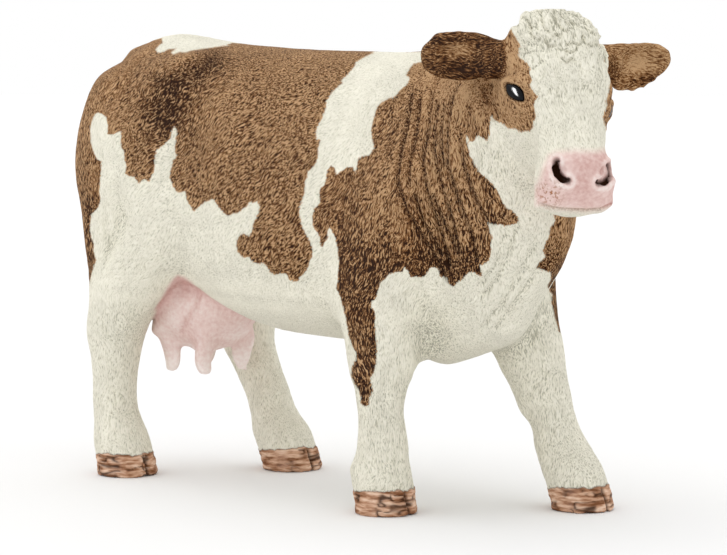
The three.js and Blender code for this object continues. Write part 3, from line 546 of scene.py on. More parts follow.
# %% Comb the hair
# Heights and depths of the relief, in millimetres.
CURL_HEIGHT, FOREHEAD_CURL_HEIGHT, LOCK_DEPTH = 0.34, 0.12, 0.42
NECK_FOLD_DEPTH, CHEST_FOLD_DEPTH, UDDER_FOLD_DEPTH = 0.55, 0.34, 0.35
NOSTRIL_DEPTH, NOSTRIL_RIM_HEIGHT, MOUTH_DEPTH = 0.9, 0.22, 0.35
RIDGE_HEIGHT, CRACK_DEPTH, CLEFT_DEPTH = 0.10, 0.16, 0.55
EAR_HAIR_HEIGHT, TAIL_HAIR_HEIGHT, FUR_HEIGHT = 0.05, 0.16, 0.05


def along_skin(direction):
    """The direction, laid flat on the skin at each vertex."""
    flat = direction - (normal * direction).sum(1)[:, None] * normal
    return flat / np.maximum(np.linalg.norm(flat, axis=1), 1e-6)[:, None]


def strands(flow, width, length, seed, where, samples=9):
    """Strokes of this width and length in millimetres along the flow, from about -1 to 1, where wanted."""
    out = np.zeros(count)
    near = where > 0.01
    steps = np.linspace(-0.5, 0.5, samples) * length
    total = sum(noise(place[near] + flow[near] * step, width, seed) for step in steps)
    out[near] = np.clip(total * 1.9 / samples, -1.3, 1.3)
    return out


white_hair = eased(-coat, -0.3, 0.6)
on_poll = on_head * (1 - on_ears) * white_hair * (1 - eased(head_down, 0.02, 0.30)) * eased(head_out, -0.4, 0.0)
on_forehead = on_head * white_hair * (1 - eased(head_down, 0.45, 0.72)) * eased(head_out, 0.0, 0.3)
curly = np.maximum(on_poll, on_forehead)
swirl = 2.8 * noise(place, 3.6, 5) + 1.4 * noise(place, 1.8, 6)
curl_way = along_skin(np.cos(swirl)[:, None] * down_face + np.sin(swirl)[:, None] * to_left)
curls = strands(curl_way, 0.80, 3.2, 7, curly)

on_neck = eased(place[:, 0], 12, 22) * eased(place[:, 2], 36, 48) * (1 - eased(place[:, 0], 44, 52))
on_neck *= (1 - eased(place[:, 2], 74, 80)) * (1 - on_ears) * (1 - eased(-coat, -0.5, 0.5))
on_brisket = eased(place[:, 0], 30, 42) * eased(place[:, 2], 26, 32) * (1 - eased(place[:, 2], 52, 60))
on_brisket *= (1 - on_head) * (1 - on_legs)
neck_folds = strands(along_skin(0.22 * right - upward), 3.2, 26, 8, on_neck, 13)
locks = strands(along_skin(0.22 * right - upward), 1.1, 8, 16, on_neck, 11)
brisket_folds = strands(along_skin(-0.45 * right - upward), 2.8, 20, 9, on_brisket, 13)


def crease(folds, sharp=0.22):
    """A narrow valley wherever the folds change sides."""
    return np.exp(-(folds / sharp) ** 2)


# Three big locks and some small ones were drawn in the poll.
LOCKS = [
    [(541, 11), (541.6, 20), (544, 27), (549, 32)], [(554, 13), (556, 22), (561, 28), (567, 32)],
    [(560, 13), (566, 19), (569, 25), (568, 31)], [(569, 17), (574, 22), (580, 25)],
    [(566, 50), (571, 52.5), (577, 49.5), (578, 45)], [(567, 44), (573, 42), (580, 44)],
    [(553, 36), (557, 33.5), (560, 37)], [(527, 20), (531, 26), (530, 33), (534, 38)],
    [(585, 22), (588, 30), (594, 35)], [(562, 58), (567, 62), (572, 58)], [(545, 40), (549, 46), (555, 45)],
    [(583, 36), (586, 43), (592, 46)],
]
relief = CURL_HEIGHT * on_poll * curls + FOREHEAD_CURL_HEIGHT * on_forehead * curls
NECK_FOLDS = [
    [(411, 96), (407, 127), (400, 153), (397, 180), (407, 213), (433, 253), (447, 280)],
    [(431, 92), (428, 130), (422, 160), (427, 190), (440, 230), (450, 267)],
    [(437, 102), (433, 147), (440, 180), (450, 213), (460, 253)],
    [(452, 96), (447, 130), (447, 163), (457, 197), (470, 230), (477, 260)],
    [(460, 135), (463, 163), (473, 193), (487, 220)], [(419, 100), (415, 137), (409, 165), (409, 185)],
    [(444, 105), (440, 140), (443, 165)], [(433, 195), (446, 228), (456, 250)], [(415, 195), (424, 225), (442, 255)],
]
CHEST_FOLDS = [
    [(519, 222), (513, 240), (497, 280), (483, 296)], [(535, 247), (517, 280), (500, 313)],
    [(541, 266), (513, 307), (497, 327)], [(506, 232), (497, 262), (482, 285)], [(527, 268), (506, 300), (488, 322)],
]


def drawn_lines(lines, half_width, part):
    """1 on these open paths of the photograph, fading to 0 beside them, on the side that it shows."""
    out = np.zeros(count)
    near = (part > 0.01) & (facing > 0)
    for line in lines:
        out[near] = np.maximum(out[near], np.exp(-(path_distance(line, near) / half_width) ** 2))
    return out * part * eased(facing, 0, 0.1)


neck_lines = drawn_lines(NECK_FOLDS, 1.7, (1 - on_head) * (1 - on_ears))
chest_lines = drawn_lines(CHEST_FOLDS, 3.6, 1 - on_head)
relief -= NECK_FOLD_DEPTH * neck_lines + CHEST_FOLD_DEPTH * chest_lines
relief += 0.25 * drawn_lines(NECK_FOLDS, 4.5, (1 - on_head) * (1 - on_ears)) - 0.25 * neck_lines
UDDER_FOLD = [(199, 293), (197, 305), (192, 310), (188, 319), (184, 325), (181, 333)]
fold = drawn_lines([UDDER_FOLD], 2.6, on_udder)
drawn = drawn_lines(LOCKS, 1.3, on_head)
relief -= UDDER_FOLD_DEPTH * fold + LOCK_DEPTH * drawn
relief -= on_neck * (0.22 * crease(neck_folds) - 0.15 * neck_folds - 0.12 * locks)
relief -= on_brisket * (0.10 * crease(brisket_folds) - 0.20 * brisket_folds)
relief += on_ears * EAR_HAIR_HEIGHT * strands(along_skin(to_left), 0.6, 4.0, 10, on_ears)
relief += on_tail * TAIL_HAIR_HEIGHT * strands(along_skin(upward), 0.6, 5.0, 11, on_tail)
furry = (1 - on_udder) * (1 - muzzle_pink) * (1 - on_poll) * (1 - on_ears)
relief += FUR_HEIGHT * furry * strands(along_skin(upward + [0.4, 0, 0]), 0.6, 2.4, 12, furry, 5)
relief -= NOSTRIL_DEPTH * nostril - NOSTRIL_RIM_HEIGHT * nostril_rim + MOUTH_DEPTH * mouth

# The cleft parts each hoof's toe into two claws. Cracks run round the horn, and it flares at the rim.
upright_wall = 1 - eased(np.abs(normal[:, 2]), 0.5, 0.8)
wander = aside + 0.25 * noise(place, 1.5, 17) + 0.12 * (place[:, 2] - 2)
cleft = np.exp(-(wander / 0.28) ** 2) * eased(toeward, 1.5, 3)
cleft *= eased(hoof, 0.0, 0.5)
ridge = noise(place * [0.28, 0.28, 1] + 0.5 * noise(place, 2.5, 18)[:, None], 0.62, 13)
crack = crease(ridge, 0.20) * eased(noise(place, 1.7, 19), -0.35, 0.10) * eased(hoof, 0.15, 0.4)
flare = eased(hoof, -0.1, 0.3) * 0.15 + 0.30 * eased(hoof, 2.2, 3.8)
layers = eased(hoof, 0, 0.3) * (RIDGE_HEIGHT * ridge - CRACK_DEPTH * crack)
relief += upright_wall * (flare + layers - CLEFT_DEPTH * cleft)
print("relief from", round(float(relief.min()), 2), "to", round(float(relief.max()), 2), "mm")

# %% [markdown]
# ## Eyelids
# Each eye is a glossy almond set into the lids, which stand up a little round it. The right eye's
# place comes from the photograph. The left one is its mirror image across the head, set back by four
# millimetres, because it doesn't show in the photograph.

# %% Find the eyes and raise the lids
EYE_PIXEL = np.array([513.2, 92.3])
EYE_LONG_PIXELS, EYE_WIDE_PIXELS = (8.0, 8.6), (5.4, -3.6)
EYE_BULGE, ALMOND = 0.60, 0.40
LID_HEIGHT, SOCKET_DEPTH = 0.14, 0.5
LEFT_EYE_BACK = 4.2

near_eye = np.where((on_head > 0.5) & (facing > 0.2))[0]
right_eye = place[near_eye[((pixel[near_eye] - EYE_PIXEL) ** 2).sum(1).argmin()]]


def mean_normal(centre):
    out = normal[np.linalg.norm(place - centre, axis=1) < 2.2].mean(0)
    return out / np.linalg.norm(out)


def laid_flat(across, down, out, scale):
    """The direction in the skin that shows in the photograph as these pixels across and down."""
    flat = (across * right - down * above) / scale
    return flat - sight * (flat @ out) / (sight @ out)


def flipped(direction):
    return direction - 2 * (direction @ to_left) * to_left


# The right eyeball looks half the way from its skin's normal towards the camera.
eye_out = mean_normal(right_eye) - sight
eye_out /= np.linalg.norm(eye_out)
eye_scale = to_photo(right_eye[None])[1][0]
eye_axes = [laid_flat(*axis, eye_out, eye_scale) for axis in (EYE_LONG_PIXELS, EYE_WIDE_PIXELS)]
mirror_place = right_eye - 2 * ((right_eye - HEAD_ROOT) @ to_left) * to_left
left_out, *left_axes = (flipped(way) for way in (eye_out, *eye_axes))
lids = np.zeros(count)
lid_line = np.zeros(count)
socket = np.zeros(count)
eyes = []
left_eye = mirror_place - LEFT_EYE_BACK * out_of_face
for side, centre, long_way, wide_way, out_way in (
    ("right", right_eye, *eye_axes, eye_out), ("left", left_eye, *left_axes, left_out),
):
    offset = (place - centre) @ np.linalg.inv([long_way, wide_way, out_way])
    outward = (normal @ out_way > 0.1) & (np.linalg.norm(place - centre, axis=1) < 7)
    pinched = np.hypot(offset[:, 0], offset[:, 1] / (1 - ALMOND * np.clip(offset[:, 0] ** 2, 0, 1)))
    reach = np.where(outward, pinched, 9)
    level_here = float(np.median(offset[reach < 1.5, 2]))
    flatten = (1 - eased(np.where(outward, np.hypot(offset[:, 0], offset[:, 1]), 9), 1.3, 2.3)) * on_head
    place += (flatten * (level_here - offset[:, 2]))[:, None] * out_way
    eyes.append((side, centre + level_here * out_way, long_way, wide_way, out_way))
    lids = np.maximum(lids, np.exp(-((reach - 1.38) / 0.22) ** 2))
    lid_line = np.maximum(lid_line, np.exp(-((reach - 1.10) / 0.12) ** 2))
    socket = np.maximum(socket, 1 - eased(reach, 0.95, 1.2))
    print(side, "eye at", eyes[-1][1].round(2))
normal = normals_of(place)
relief += on_head * (LID_HEIGHT * lids - SOCKET_DEPTH * socket)

# %% [markdown]
# ## The wash and the painted shade
# A thin dark brown wash was brushed over the brown and wiped off again; it stays in the hair. Painted
# shade darkens the hollows: strong on the shoulder, under the neck and in the hollow before the hip.
# On the back it is weak, and painted light makes the top lighter. The white coat has a fainter grey painted shade.

# %% Brush on the wash and paint the shade
# Bands of painted shade on the hip hollow, the shoulder and the neck: start, end, width and strength in pixels.
PAINTED_SHADE_BANDS = [
    ((162, 118), (170, 88), 17, 2.1), ((174, 84), (212, 64), 13, 1.5), ((410, 95), (400, 150), 11, 0.45),
    ((400, 150), (402, 200), 14, 0.55), ((402, 200), (442, 268), 15, 0.55), ((345, 250), (385, 262), 16, 0.3),
    ((500, 215), (470, 262), 12, 0.3), ((470, 162), (512, 216), 7, 0.4), ((90, 200), (90, 270), 7, 0.8),
]
painted_shade = np.zeros(count)
for start, end, wide, strong in PAINTED_SHADE_BANDS:
    painted_shade = np.maximum(painted_shade, strong * np.exp(-(path_distance([start, end]) / wide) ** 2) * seen)
# The far side gets painted shade in its hollow before the hip.
far_painted_shade = np.exp(-(((place[:, 0] + 31) / 7) ** 2 + ((place[:, 2] - 67) / 5) ** 2)) * (1 - seen)
painted_shade = np.maximum(painted_shade, 1.5 * far_painted_shade) * (1 - on_head)

# Painted light makes the scoop of each ear lighter, and painted shade makes its rim and lower half darker.
EAR_LIGHTS = [((459, 50), (19, 9)), ((637, 64), (15, 10))]
EAR_SHADES = [((468, 72), (22, 8)), ((446, 40), (30, 4)), ((612, 70), (6, 16)), ((650, 80), (20, 6))]


def glow(spots):
    """Soft ovals round these pixels."""
    return sum(np.exp(-(((pixel - centre) / np.array(size)) ** 2).sum(1)) for centre, size in spots)


ear_light = glow(EAR_LIGHTS) * eased(facing, 0, 0.3)
ear_shade = glow(EAR_SHADES) * eased(facing, 0, 0.3)

place += relief[:, None] * normal
low, high = (np.array(corner) / MM for corner in cad_box)
place = np.clip(place, low, high)
normal = normals_of(place)


def hollowness(steps):
    """How far each vertex lies below its smoothed surroundings, in millimetres."""
    return ((smoothed(place, 0.8, steps) - place) * normal).sum(1)


small_hollow = np.clip(hollowness(6) / 0.05, -1, 1)
wide_hollow = np.clip(smoothed(hollowness(50), 0.8, 10) / 0.20, -1, 1)

height = place[:, 2]
body = 1 - on_head
low_down = 1 - eased(height, 44, 70)
shoulder = eased(place[:, 0], 8, 22) * (1 - eased(height, 62, 76)) * body
on_left_ear = on_ears * eased(head_left, -0.1, 0.1)
tongue = eased(place[:, 0], 6, 12) * (1 - eased(height, 38, 48)) * body
# Painted shade: darker low down, on the shoulder, along the shade bands, in the neck's creases and fold lines, in the
# hollows, and on the ears' rims and lower halves. Painted light: lighter on top of the back, in the ears' scoops and
# over the whole left ear. The noise is random tone, and the lid line is paint.
wash = 0.28 + 0.20 * low_down + 0.42 * shoulder + painted_shade + 0.58 * tongue
wash += 0.12 * noise(place, 9, 14) + 0.12 * noise(place, 4, 15) - 0.15 * eased(height, 70, 80) - 0.20 * on_head
wash += on_neck * (0.25 * crease(neck_folds, 0.3) - 0.25 * locks - 0.76) + 0.38 * neck_lines
wash += 0.22 * small_hollow + 0.28 * wide_hollow
wash += on_ears * (1.0 + 0.9 * ear_shade - 1.3 * ear_light) - 1.05 * on_left_ear
wash += 0.9 * lid_line * on_head
# Painted grey shade on the white: in the gaps of the curls and locks, the chest folds and the hollows, low down, on
# the shoulder, and in two patches on the thigh and the chest. It is painted lighter on the head and on the far hind
# leg. It is also grey along the mouth line.
painted_grey_shade = on_poll * (0.22 - 0.34 * curls) + on_forehead * (0.14 - 0.26 * curls)
painted_grey_shade += 0.05 * chest_lines
painted_grey_shade += 0.22 * small_hollow + 0.16 * wide_hollow * (1 - 0.7 * on_head)
painted_grey_shade += 0.10 * (1 - eased(height, 20, 40)) + 0.08 * shoulder
painted_grey_shade += 0.24 * glow([((128, 285), (24, 45)), ((545, 330), (16, 34))]) * seen - 0.08 * on_head
painted_grey_shade -= 0.75 * on_legs * eased(place[:, 1], 4, 6) * (1 - eased(place[:, 0], -20, -10))
painted_grey_shade = np.clip(np.maximum(painted_grey_shade, np.maximum(0.8 * mouth, 0.50 * drawn)), 0, 1)

# Pink skin is deeper round the mouth and over the muzzle, with painted shade in its folds, hollows and the notch by
# the thigh, and a painted highlight on the nostrils' rims. It is paler on the udder and most on the teats.
blush = 0.2 * fold + 0.8 * mouth + 0.25 * wide_hollow + 0.35 * notch * (1 - on_udder)
blush += 0.30 * muzzle_pink - 0.45 * nostril_rim - 0.12 * on_udder
blush -= 0.45 * on_udder * (1 - eased(height, 20, 25))
blush = np.clip(blush + 0.35 * noise(place, 3.0, 21), -1, 1)

lean = np.clip(0.45 * eased(place[:, 0], 6, 16) + 0.55 * eased(place[:, 0], 20, 30), 0, 1)
lean = np.maximum(lean, 1 - eased(height, 30, 38))
lean = np.maximum(lean, 1 - eased(place[:, 0], -52, -42))
STIPPLE = [((549, 194), (12, 13))]
stipple = glow(STIPPLE) * front_of_head
# Dark brown paint in the nostrils, the cleft and the cracks, and a line of painted shade round the top of each hoof,
# under the hair.
dark_paint_and_shade = np.clip(np.maximum(np.maximum(nostril, 0.9 * cleft), 0.9 * crack), 0, 1)
dark_paint_and_shade = np.maximum(dark_paint_and_shade, 0.7 * np.exp(-(hoof / 0.10) ** 2) * upright_wall)

skin_marks = {
    "coat": coat, "pink": pink, "hoof": hoof, "dark": dark_paint_and_shade, "wash": wash, "painted_grey_shade": painted_grey_shade,
    "lean": lean, "face": on_head, "ear": on_ears, "stipple": stipple, "blush": blush,
}
for name, values in skin_marks.items():
    skin.data.attributes.new(name, "FLOAT", "POINT").data.foreach_set("value", values.astype(np.float32))
print("wash from", round(float(wash.min()), 2), "to", round(float(wash.max()), 2))

# %% [markdown]
# ## Painted vinyl
# The figure is soft PVC with matt acrylic paint. Matt paint on vinyl has a rough, faint sheen and no
# metal. The hair strokes are a fifth of a millimetre wide and one long. Four directions of strokes are
# drawn: lying back along the flank, steeper on the shoulder, upright on the neck and legs, and down
# the face. The paint is darker in the gaps and lighter on top of the strokes, partly a wash and partly
# painted shade and painted highlight on the hair, and the same pattern makes the bumps.

# %% Helpers for materials
def linear(code):
    """A linear colour from its sRGB hex code."""
    parts = [int(code[i:i + 2], 16) / 255 for i in (1, 3, 5)]
    return tuple(p / 12.92 if p <= 0.04045 else ((p + 0.055) / 1.055) ** 2.4 for p in parts) + (1,)


def blank_tree(owner):
    """The emptied node tree of a material or a world."""
    owner.use_nodes = True
    owner.node_tree.nodes.clear()
    return owner.node_tree


def add_node(tree, kind, settings=None, **inputs):
    """Adds a node. i0 is its first input. An input's value is a node to link from, a socket, or plain."""
    node = tree.nodes.new("ShaderNode" + kind)
    for key, value in (settings or {}).items():
        setattr(node, key, value)
    for key, value in inputs.items():
        numbered = key[0] == "i" and key[1:].isdigit()
        socket = node.inputs[int(key[1:]) if numbered else key.replace("_", " ")]
        if isinstance(value, bpy.types.Node):
            value = value.outputs[0]
        if isinstance(value, bpy.types.NodeSocket):
            tree.links.new(value, socket)
        else:
            socket.default_value = value
    return node


# %% Painted vinyl
vinyl = bpy.data.materials.new("matt_painted_vinyl")
tree = blank_tree(vinyl)
TIMES = {"operation": "MULTIPLY"}
TIMES_PLUS = {"operation": "MULTIPLY_ADD"}
TIMES_PLUS_CLAMPED = {"operation": "MULTIPLY_ADD", "use_clamp": True}
marks = {}
for name in skin_marks:
    marks[name] = add_node(tree, "Attribute", {"attribute_name": name}).outputs["Fac"]

object_place = add_node(tree, "TexCoord").outputs["Object"]
in_mm = add_node(tree, "VectorMath", {"operation": "SCALE"}, i0=object_place, Scale=1 / MM)
sway = add_node(tree, "TexNoise", None, Vector=in_mm, Scale=0.16, Detail=2.0).outputs["Color"]
swaying = add_node(tree, "VectorMath", TIMES_PLUS, i0=sway, i1=(3.2, 3.2, 3.2), i2=in_mm)

STROKE_LENGTH, STROKE_WIDTH = 0.95, 0.21
STROKE = {"Scale": 1.0, "Detail": 3.0, "Roughness": 0.6}
stroke_size = (STROKE_LENGTH, STROKE_WIDTH, STROKE_WIDTH)
directions = {
    "flank": (0, math.radians(-40), 0),
    "shoulder": (0, math.radians(-64), 0),
    "upright": (0, math.radians(-90), 0),
    "face": tuple(HEAD_TURN),
    "ear": tuple(Matrix([to_left, -down_face, out_of_face]).transposed().to_euler()),
}
stroke = {}
for name, turn in directions.items():
    turned = add_node(
        tree, "Mapping", {"vector_type": "TEXTURE"}, Vector=swaying, Rotation=turn, Scale=stroke_size,
    )
    stroke[name] = add_node(tree, "TexNoise", None, Vector=turned, **STROKE)

steep = add_node(tree, "MapRange", None, Value=marks["lean"], i1=0.0, i2=0.5)
steeper = add_node(tree, "MapRange", None, Value=marks["lean"], i1=0.5, i2=1.0)
combed = stroke["flank"]
for share_here, way in (
    (steep, "shoulder"), (steeper, "upright"), (marks["face"], "face"), (marks["ear"], "ear"),
):
    combed = add_node(tree, "Mix", None, i0=share_here, i2=combed, i3=stroke[way])
hair = add_node(tree, "MapRange", None, Value=combed, i1=0.28, i2=0.72)
from_mid = add_node(tree, "Math", {"operation": "SUBTRACT"}, i0=hair, i1=0.5)
step_of = {}

# Brown: the wash and its painted shade darken the gaps between the strokes more than their tips.
contrast = add_node(tree, "Math", TIMES_PLUS, i0=marks["wash"], i1=0.8, i2=2.2)
calm = add_node(tree, "Math", TIMES_PLUS, i0=marks["ear"], i1=-0.45, i2=1.0)
contrast = add_node(tree, "Math", TIMES, i0=contrast, i1=calm)
tone = add_node(tree, "Math", TIMES_PLUS, i0=marks["wash"], i1=-0.40, i2=0.76)
step_of["brown"] = add_node(tree, "Math", TIMES_PLUS_CLAMPED, i0=from_mid, i1=contrast, i2=tone)

# White: cream, with faint grey painted shade in the gaps.
grey = add_node(tree, "Math", TIMES_PLUS, i0=marks["painted_grey_shade"], i1=-0.85, i2=0.83)
depth = add_node(tree, "Math", TIMES_PLUS, i0=marks["painted_grey_shade"], i1=1.8, i2=1.55)
step_of["white"] = add_node(tree, "Math", TIMES_PLUS_CLAMPED, i0=from_mid, i1=depth, i2=grey)

# Pink: sprayed, with deeper pink in the pores, painted shade in the folds and a painted highlight on the nostrils'
# rims.
pores = add_node(tree, "TexNoise", None, Vector=in_mm, Scale=1.6, Detail=3.0)
pore_step = add_node(tree, "MapRange", None, Value=pores, i1=0.3, i2=0.7, i3=0.35, i4=0.65)
step_of["pink"] = add_node(tree, "Math", TIMES_PLUS_CLAMPED, i0=marks["blush"], i1=-0.5, i2=pore_step)

# Hooves: flat layers of horn, three millimetres long and a little over half a millimetre high.
layer = add_node(tree, "Mapping", {"vector_type": "TEXTURE"}, Vector=in_mm, Scale=(3.0, 3.0, 0.6))
horn = add_node(tree, "TexNoise", None, Vector=layer, Scale=1.0, Detail=3.0)
step_of["horn"] = add_node(tree, "MapRange", None, Value=horn, i1=0.34, i2=0.66)

# %% Mix the paints, each from dark to light, and lay them over one another
PAINTS = {
    "brown": ((0, "#2a1303"), (0.22, "#472912"), (0.50, "#764e2d"), (0.75, "#98714a"), (1, "#c6a077")),
    "white": ((0, "#b0ad9b"), (0.50, "#e3dfcc"), (1, "#f8f4e4")),
    "pink": ((0, "#c2938b"), (0.50, "#e2c6bf"), (1, "#f5e9e3")),
    "horn": ((0, "#7a4f34"), (0.35, "#ad8062"), (0.65, "#cda58a"), (1, "#e6c6ad")),
}
# The dark brown paints the nostrils, clefts and cracks, and the painted shade line at the top of the hooves.
SPECK_ORANGE, DARK_PAINT_AND_SHADE_BROWN = "#a3704e", "#331b0b"
paint = {}
for name, stops in PAINTS.items():
    mixer = add_node(tree, "ValToRGB", None, Fac=step_of[name])
    for position, code in stops[1:-1]:
        mixer.color_ramp.elements.new(position)
    for element, (position, code) in zip(mixer.color_ramp.elements, stops):
        element.color = linear(code)
    paint[name] = mixer

# The border between brown and white has fine teeth, as hair across a border has.
teeth = add_node(tree, "Math", TIMES_PLUS, i0=hair, i1=0.5, i2=marks["coat"])
is_brown = add_node(tree, "MapRange", None, Value=teeth, i1=0.17, i2=0.33)
specks = add_node(tree, "TexNoise", None, Vector=in_mm, Scale=2.2, Detail=1.0)
speck = add_node(tree, "MapRange", None, Value=specks, i1=0.52, i2=0.60)
speck_here = add_node(tree, "Math", TIMES, i0=speck, i1=marks["stipple"])
is_hoof = add_node(tree, "MapRange", None, Value=marks["hoof"], i1=-0.08, i2=0.08)
skin_color = paint["white"]
for share_here, color in (
    (is_brown, paint["brown"]), (marks["pink"], paint["pink"]), (speck_here, linear(SPECK_ORANGE)),
    (is_hoof, paint["horn"]), (marks["dark"], linear(DARK_PAINT_AND_SHADE_BROWN)),
):
    skin_color = add_node(
        tree, "Mix", {"data_type": "RGBA"}, i0=share_here, i6=skin_color, i7=color,
    ).outputs[2]

# Bumps: hair stands about a sixth of a millimetre, and bare skin is nearly smooth.
HAIR_HEIGHT = 0.16
MATT_ROUGHNESS, BARE_ROUGHNESS = 0.70, 0.50
VINYL_SHEEN, REFRACTION = 0.04, 1.5
bare = add_node(tree, "Math", {"operation": "MAXIMUM"}, i0=marks["pink"], i1=is_hoof)
bump_share = add_node(tree, "MapRange", None, Value=bare, i3=1.0, i4=0.25)
bump_form = add_node(tree, "Mix", None, i0=is_hoof, i2=hair, i3=step_of["horn"])
bump = add_node(tree, "Bump", None, Strength=bump_share, Distance=HAIR_HEIGHT * MM, Height=bump_form)
roughness = add_node(tree, "MapRange", None, Value=bare, i3=MATT_ROUGHNESS, i4=BARE_ROUGHNESS)
shader = add_node(
    tree, "BsdfPrincipled", None, Base_Color=skin_color, Roughness=roughness, Normal=bump, IOR=REFRACTION,
    Specular_IOR_Level=VINYL_SHEEN,
)
add_node(tree, "OutputMaterial", None, Surface=shader)
print("vinyl has", len(tree.nodes), "nodes")

# %% [markdown]
# ## Glossy lacquer for the eyes
# The eyes are dots of black enamel with a faint blue cast, under a clear gloss. The gloss is what
# gives them a highlight, so it's kept very smooth.

# %% Eye enamel
ENAMEL_ROUGHNESS, ENAMEL_SHEEN = 0.14, 0.16
enamel = bpy.data.materials.new("black_gloss_enamel")
tree = blank_tree(enamel)
eye_place = add_node(tree, "TexCoord").outputs["Object"]
depth_of_eye = add_node(tree, "TexNoise", None, Vector=eye_place, Scale=900.0, Detail=2.0)
enamel_color = add_node(tree, "ValToRGB", None, Fac=depth_of_eye)
enamel_color.color_ramp.elements[0].color = linear("#020203")
enamel_color.color_ramp.elements[1].color = linear("#0b0c10")
gloss = add_node(
    tree, "BsdfPrincipled", None, Base_Color=enamel_color, Roughness=ENAMEL_ROUGHNESS, IOR=REFRACTION,
    Specular_IOR_Level=ENAMEL_SHEEN,
)
add_node(tree, "OutputMaterial", None, Surface=gloss)

# %% [markdown]
# ## Back to separate parts
# The skin is cut up again along the borders between the solids, so that every part is a piece of its
# own. Neighbours share the border's vertices exactly, so no join shows. Each cut is closed with a
# cap, because the parts are solid. A cut runs round a limb on a curved path, and a flat cap would cross
# the hollow between thigh and belly. So every rim first turns in, ring by ring, towards the nearest of
# a few points deep in the body, at least half a millimetre under the skin, and is closed there. Head
# and ears have one such point, in the skull. The first steps are the shortest, so that the cap follows
# the skin where that is hollow.

# %% Cut the skin into its parts
for name in node_names:
    skin.data.materials.append(vinyl)
skin_tree = BVHTree.FromObject(skin, bpy.context.evaluated_depsgraph_get())
part_of = read(skin.data.polygons, "material_index", np.int32)
skin.data.attributes.new("part", "INT", "FACE").data.foreach_set("value", part_of)
skin.data.shade_smooth()
bpy.context.view_layer.objects.active = skin
skin.select_set(True)
bpy.ops.object.mode_set(mode="EDIT")
bpy.ops.mesh.select_all(action="SELECT")
bpy.ops.mesh.separate(type="MATERIAL")
bpy.ops.object.mode_set(mode="OBJECT")
parts = {}
for piece in [o for o in bpy.context.scene.objects if o.type == "MESH" and "part" in o.data.attributes]:
    parts[node_names[piece.data.attributes["part"].data[0].value]] = piece
print("parts:", len(parts))

# %% Close and name the parts
SKULL = np.array([HEAD_ROOT + 6 * down_face])
SPINE = np.array([(-38, 0, 56), (-15, 0, 54), (8, 0, 54), (25, 0, 58)])
CAP_STEPS = (0.02, 0.03, 0.04, 0.05, 0.07, 0.10, 0.14, 0.20)
UNDER_SKIN = 0.5


def turned_in(rim_point, step, deep_points):
    """The next place of a point that turns in: a share of the way to a deep point, under the skin."""
    start = np.array(rim_point) / MM
    core = deep_points[np.linalg.norm(deep_points - start, axis=1).argmin()]
    inner = Vector(start + step * (core - start)) * MM
    on_skin, outwards = skin_tree.find_nearest(inner)[:2]
    if (inner - on_skin).dot(outwards) > -UNDER_SKIN * MM:
        inner = on_skin - outwards * UNDER_SKIN * MM
    return inner


for name in node_names:
    piece = parts[name]
    piece.name = name + "_skin"
    mesh = bmesh.new()
    mesh.from_mesh(piece.data)
    rim = [edge for edge in mesh.edges if edge.is_boundary]
    for edge in rim:
        edge.smooth = False
    for step in CAP_STEPS:
        for item in bmesh.ops.extrude_edge_only(mesh, edges=rim)["geom"]:
            if isinstance(item, bmesh.types.BMVert):
                item.co = turned_in(item.co, step, SKULL if name.startswith(("head", "ear")) else SPINE)
        rim = [edge for edge in mesh.edges if edge.is_boundary]
    caps = bmesh.ops.holes_fill(mesh, edges=rim, sides=0)["faces"]
    bmesh.ops.poke(mesh, faces=caps, center_mode="MEAN")
    bmesh.ops.recalc_face_normals(mesh, faces=mesh.faces)
    for face in mesh.faces:
        face.material_index = 0
    mesh.to_mesh(piece.data)
    mesh.free()
    piece.data.materials.clear()
    piece.data.materials.append(vinyl)
    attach(piece, "root")
    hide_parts(name)
    print(piece.name, len(piece.data.polygons), "faces")

# %% [markdown]
# ## The eyes
# A ball, pressed into an almond and set a little into its lids, becomes an island of the head's own
# mesh. It is the moulded bulge that the enamel was dropped on.

# %% Set in the eyes
head_mesh = bmesh.new()
head_mesh.from_mesh(parts["head"].data)
parts["head"].data.materials.append(enamel)
for side, centre, long_way, wide_way, out_way in eyes:
    ball = bmesh.ops.create_uvsphere(head_mesh, u_segments=48, v_segments=32, radius=1.0)
    shape = Matrix([list(long_way), list(wide_way), list(EYE_BULGE * out_way)]).transposed()
    for vertex in ball["verts"]:
        vertex.co.y *= 1 - ALMOND * vertex.co.x ** 2
        vertex.co = (shape @ vertex.co + Vector(centre)) * MM
    ball_faces = {face for vertex in ball["verts"] for face in vertex.link_faces}
    for face in ball_faces:
        face.material_index = 1
        face.smooth = True
    bmesh.ops.recalc_face_normals(head_mesh, faces=list(ball_faces))
head_mesh.to_mesh(parts["head"].data)
head_mesh.free()

# %% [markdown]
# ## Floor, lamps and backdrop
# A plain white floor that keeps the shadow, a soft sun from the left and above, and an even white
# world. The lamps stay at a level where a colour shows about as it is written. The world is pure white
# for the camera alone, and that adds no light to the figure.

# %% Build the stage
FLOOR_HALF_M = 6.0
floor_mesh = bmesh.new()
bmesh.ops.create_grid(floor_mesh, x_segments=1, y_segments=1, size=FLOOR_HALF_M)
floor_data = bpy.data.meshes.new("floor")
floor_mesh.to_mesh(floor_data)
floor_mesh.free()
floor = add_object("floor", floor_data)

paper = bpy.data.materials.new("white_studio_paper")
tree = blank_tree(paper)
grain = add_node(tree, "TexNoise", None, Scale=40.0, Detail=2.0)
paper_tone = add_node(tree, "MapRange", None, Value=grain, i3=0.85, i4=0.87)
paper_color = add_node(tree, "CombineColor", None, Red=paper_tone, Green=paper_tone, Blue=paper_tone)
matt = add_node(tree, "BsdfDiffuse", None, Color=paper_color)
add_node(tree, "OutputMaterial", None, Surface=matt)
floor_data.materials.append(paper)

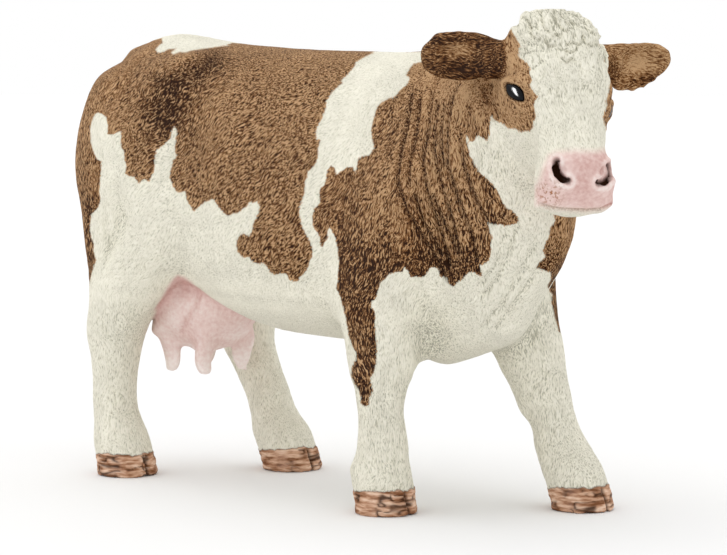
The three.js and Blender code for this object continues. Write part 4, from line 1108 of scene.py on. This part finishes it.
world = bpy.data.worlds.new("white_room")
bpy.context.scene.world = world
tree = blank_tree(world)
rays = add_node(tree, "LightPath")
picture_ray = add_node(
    tree, "Math", {"operation": "MAXIMUM"},
    i0=rays.outputs["Is Camera Ray"], i1=rays.outputs["Is Transmission Ray"],
)
WORLD_LEVEL = 0.97
room = add_node(tree, "Background", None, Color=(1, 1, 1, 1), Strength=WORLD_LEVEL)
backdrop = add_node(tree, "Background", None, Color=(1, 1, 1, 1), Strength=1.0)
either = add_node(tree, "MixShader", None, i0=picture_ray, i1=room, i2=backdrop)
add_node(tree, "OutputWorld", None, Surface=either)

SUN_LEVEL, SUN_WIDTH_DEGREES = 0.85, 65
to_sun = -0.28 * right - 0.18 * np.array([-sight[0], -sight[1], 0]) + 0.94 * upward
sun_data = bpy.data.lights.new("soft_sun", "SUN")
sun_data.energy = SUN_LEVEL
sun_data.angle = math.radians(SUN_WIDTH_DEGREES)
add_object("soft_sun", sun_data).rotation_euler = Vector(to_sun).to_track_quat("Z", "Y").to_euler()

# A strip lamp that only shows in gloss: its image is the white streak in the near eye. The streak's
# place in the almond, in halves of its length and width, gives the ball's normal there.
GLINT_ALONG, GLINT_ACROSS = -0.25, 0.37
glint_height = math.sqrt(1 - GLINT_ALONG ** 2 - GLINT_ACROSS ** 2)
side, ball_centre, long_way, wide_way, out_way = eyes[0]
glint_normal = GLINT_ALONG * long_way / (long_way @ long_way) + GLINT_ACROSS * wide_way / (wide_way @ wide_way)
glint_normal = glint_normal + glint_height * out_way / EYE_BULGE
glint_normal /= np.linalg.norm(glint_normal)
to_glint = -sight + 2 * (sight @ glint_normal) * glint_normal
GLINT_SIZE, GLINT_AWAY, GLINT_WATTS = (0.12, 0.46), 400, 11.0
glint_data = bpy.data.lights.new("eye_glint", "AREA")
glint_data.shape = "ELLIPSE"
glint_data.size, glint_data.size_y = GLINT_SIZE
glint_data.energy = GLINT_WATTS
glint = add_object("eye_glint", glint_data)
glint.location = Vector(ball_centre - GLINT_AWAY * to_glint) * MM
glint.rotation_euler = Vector(-to_glint).to_track_quat("Z", "Y").to_euler()
glint.visible_diffuse = False
print("glint towards", to_glint.round(2), "eye looks", eye_out.round(2))

bpy.context.scene.view_settings.view_transform = "Standard"
print("world", WORLD_LEVEL, "sun", SUN_LEVEL)
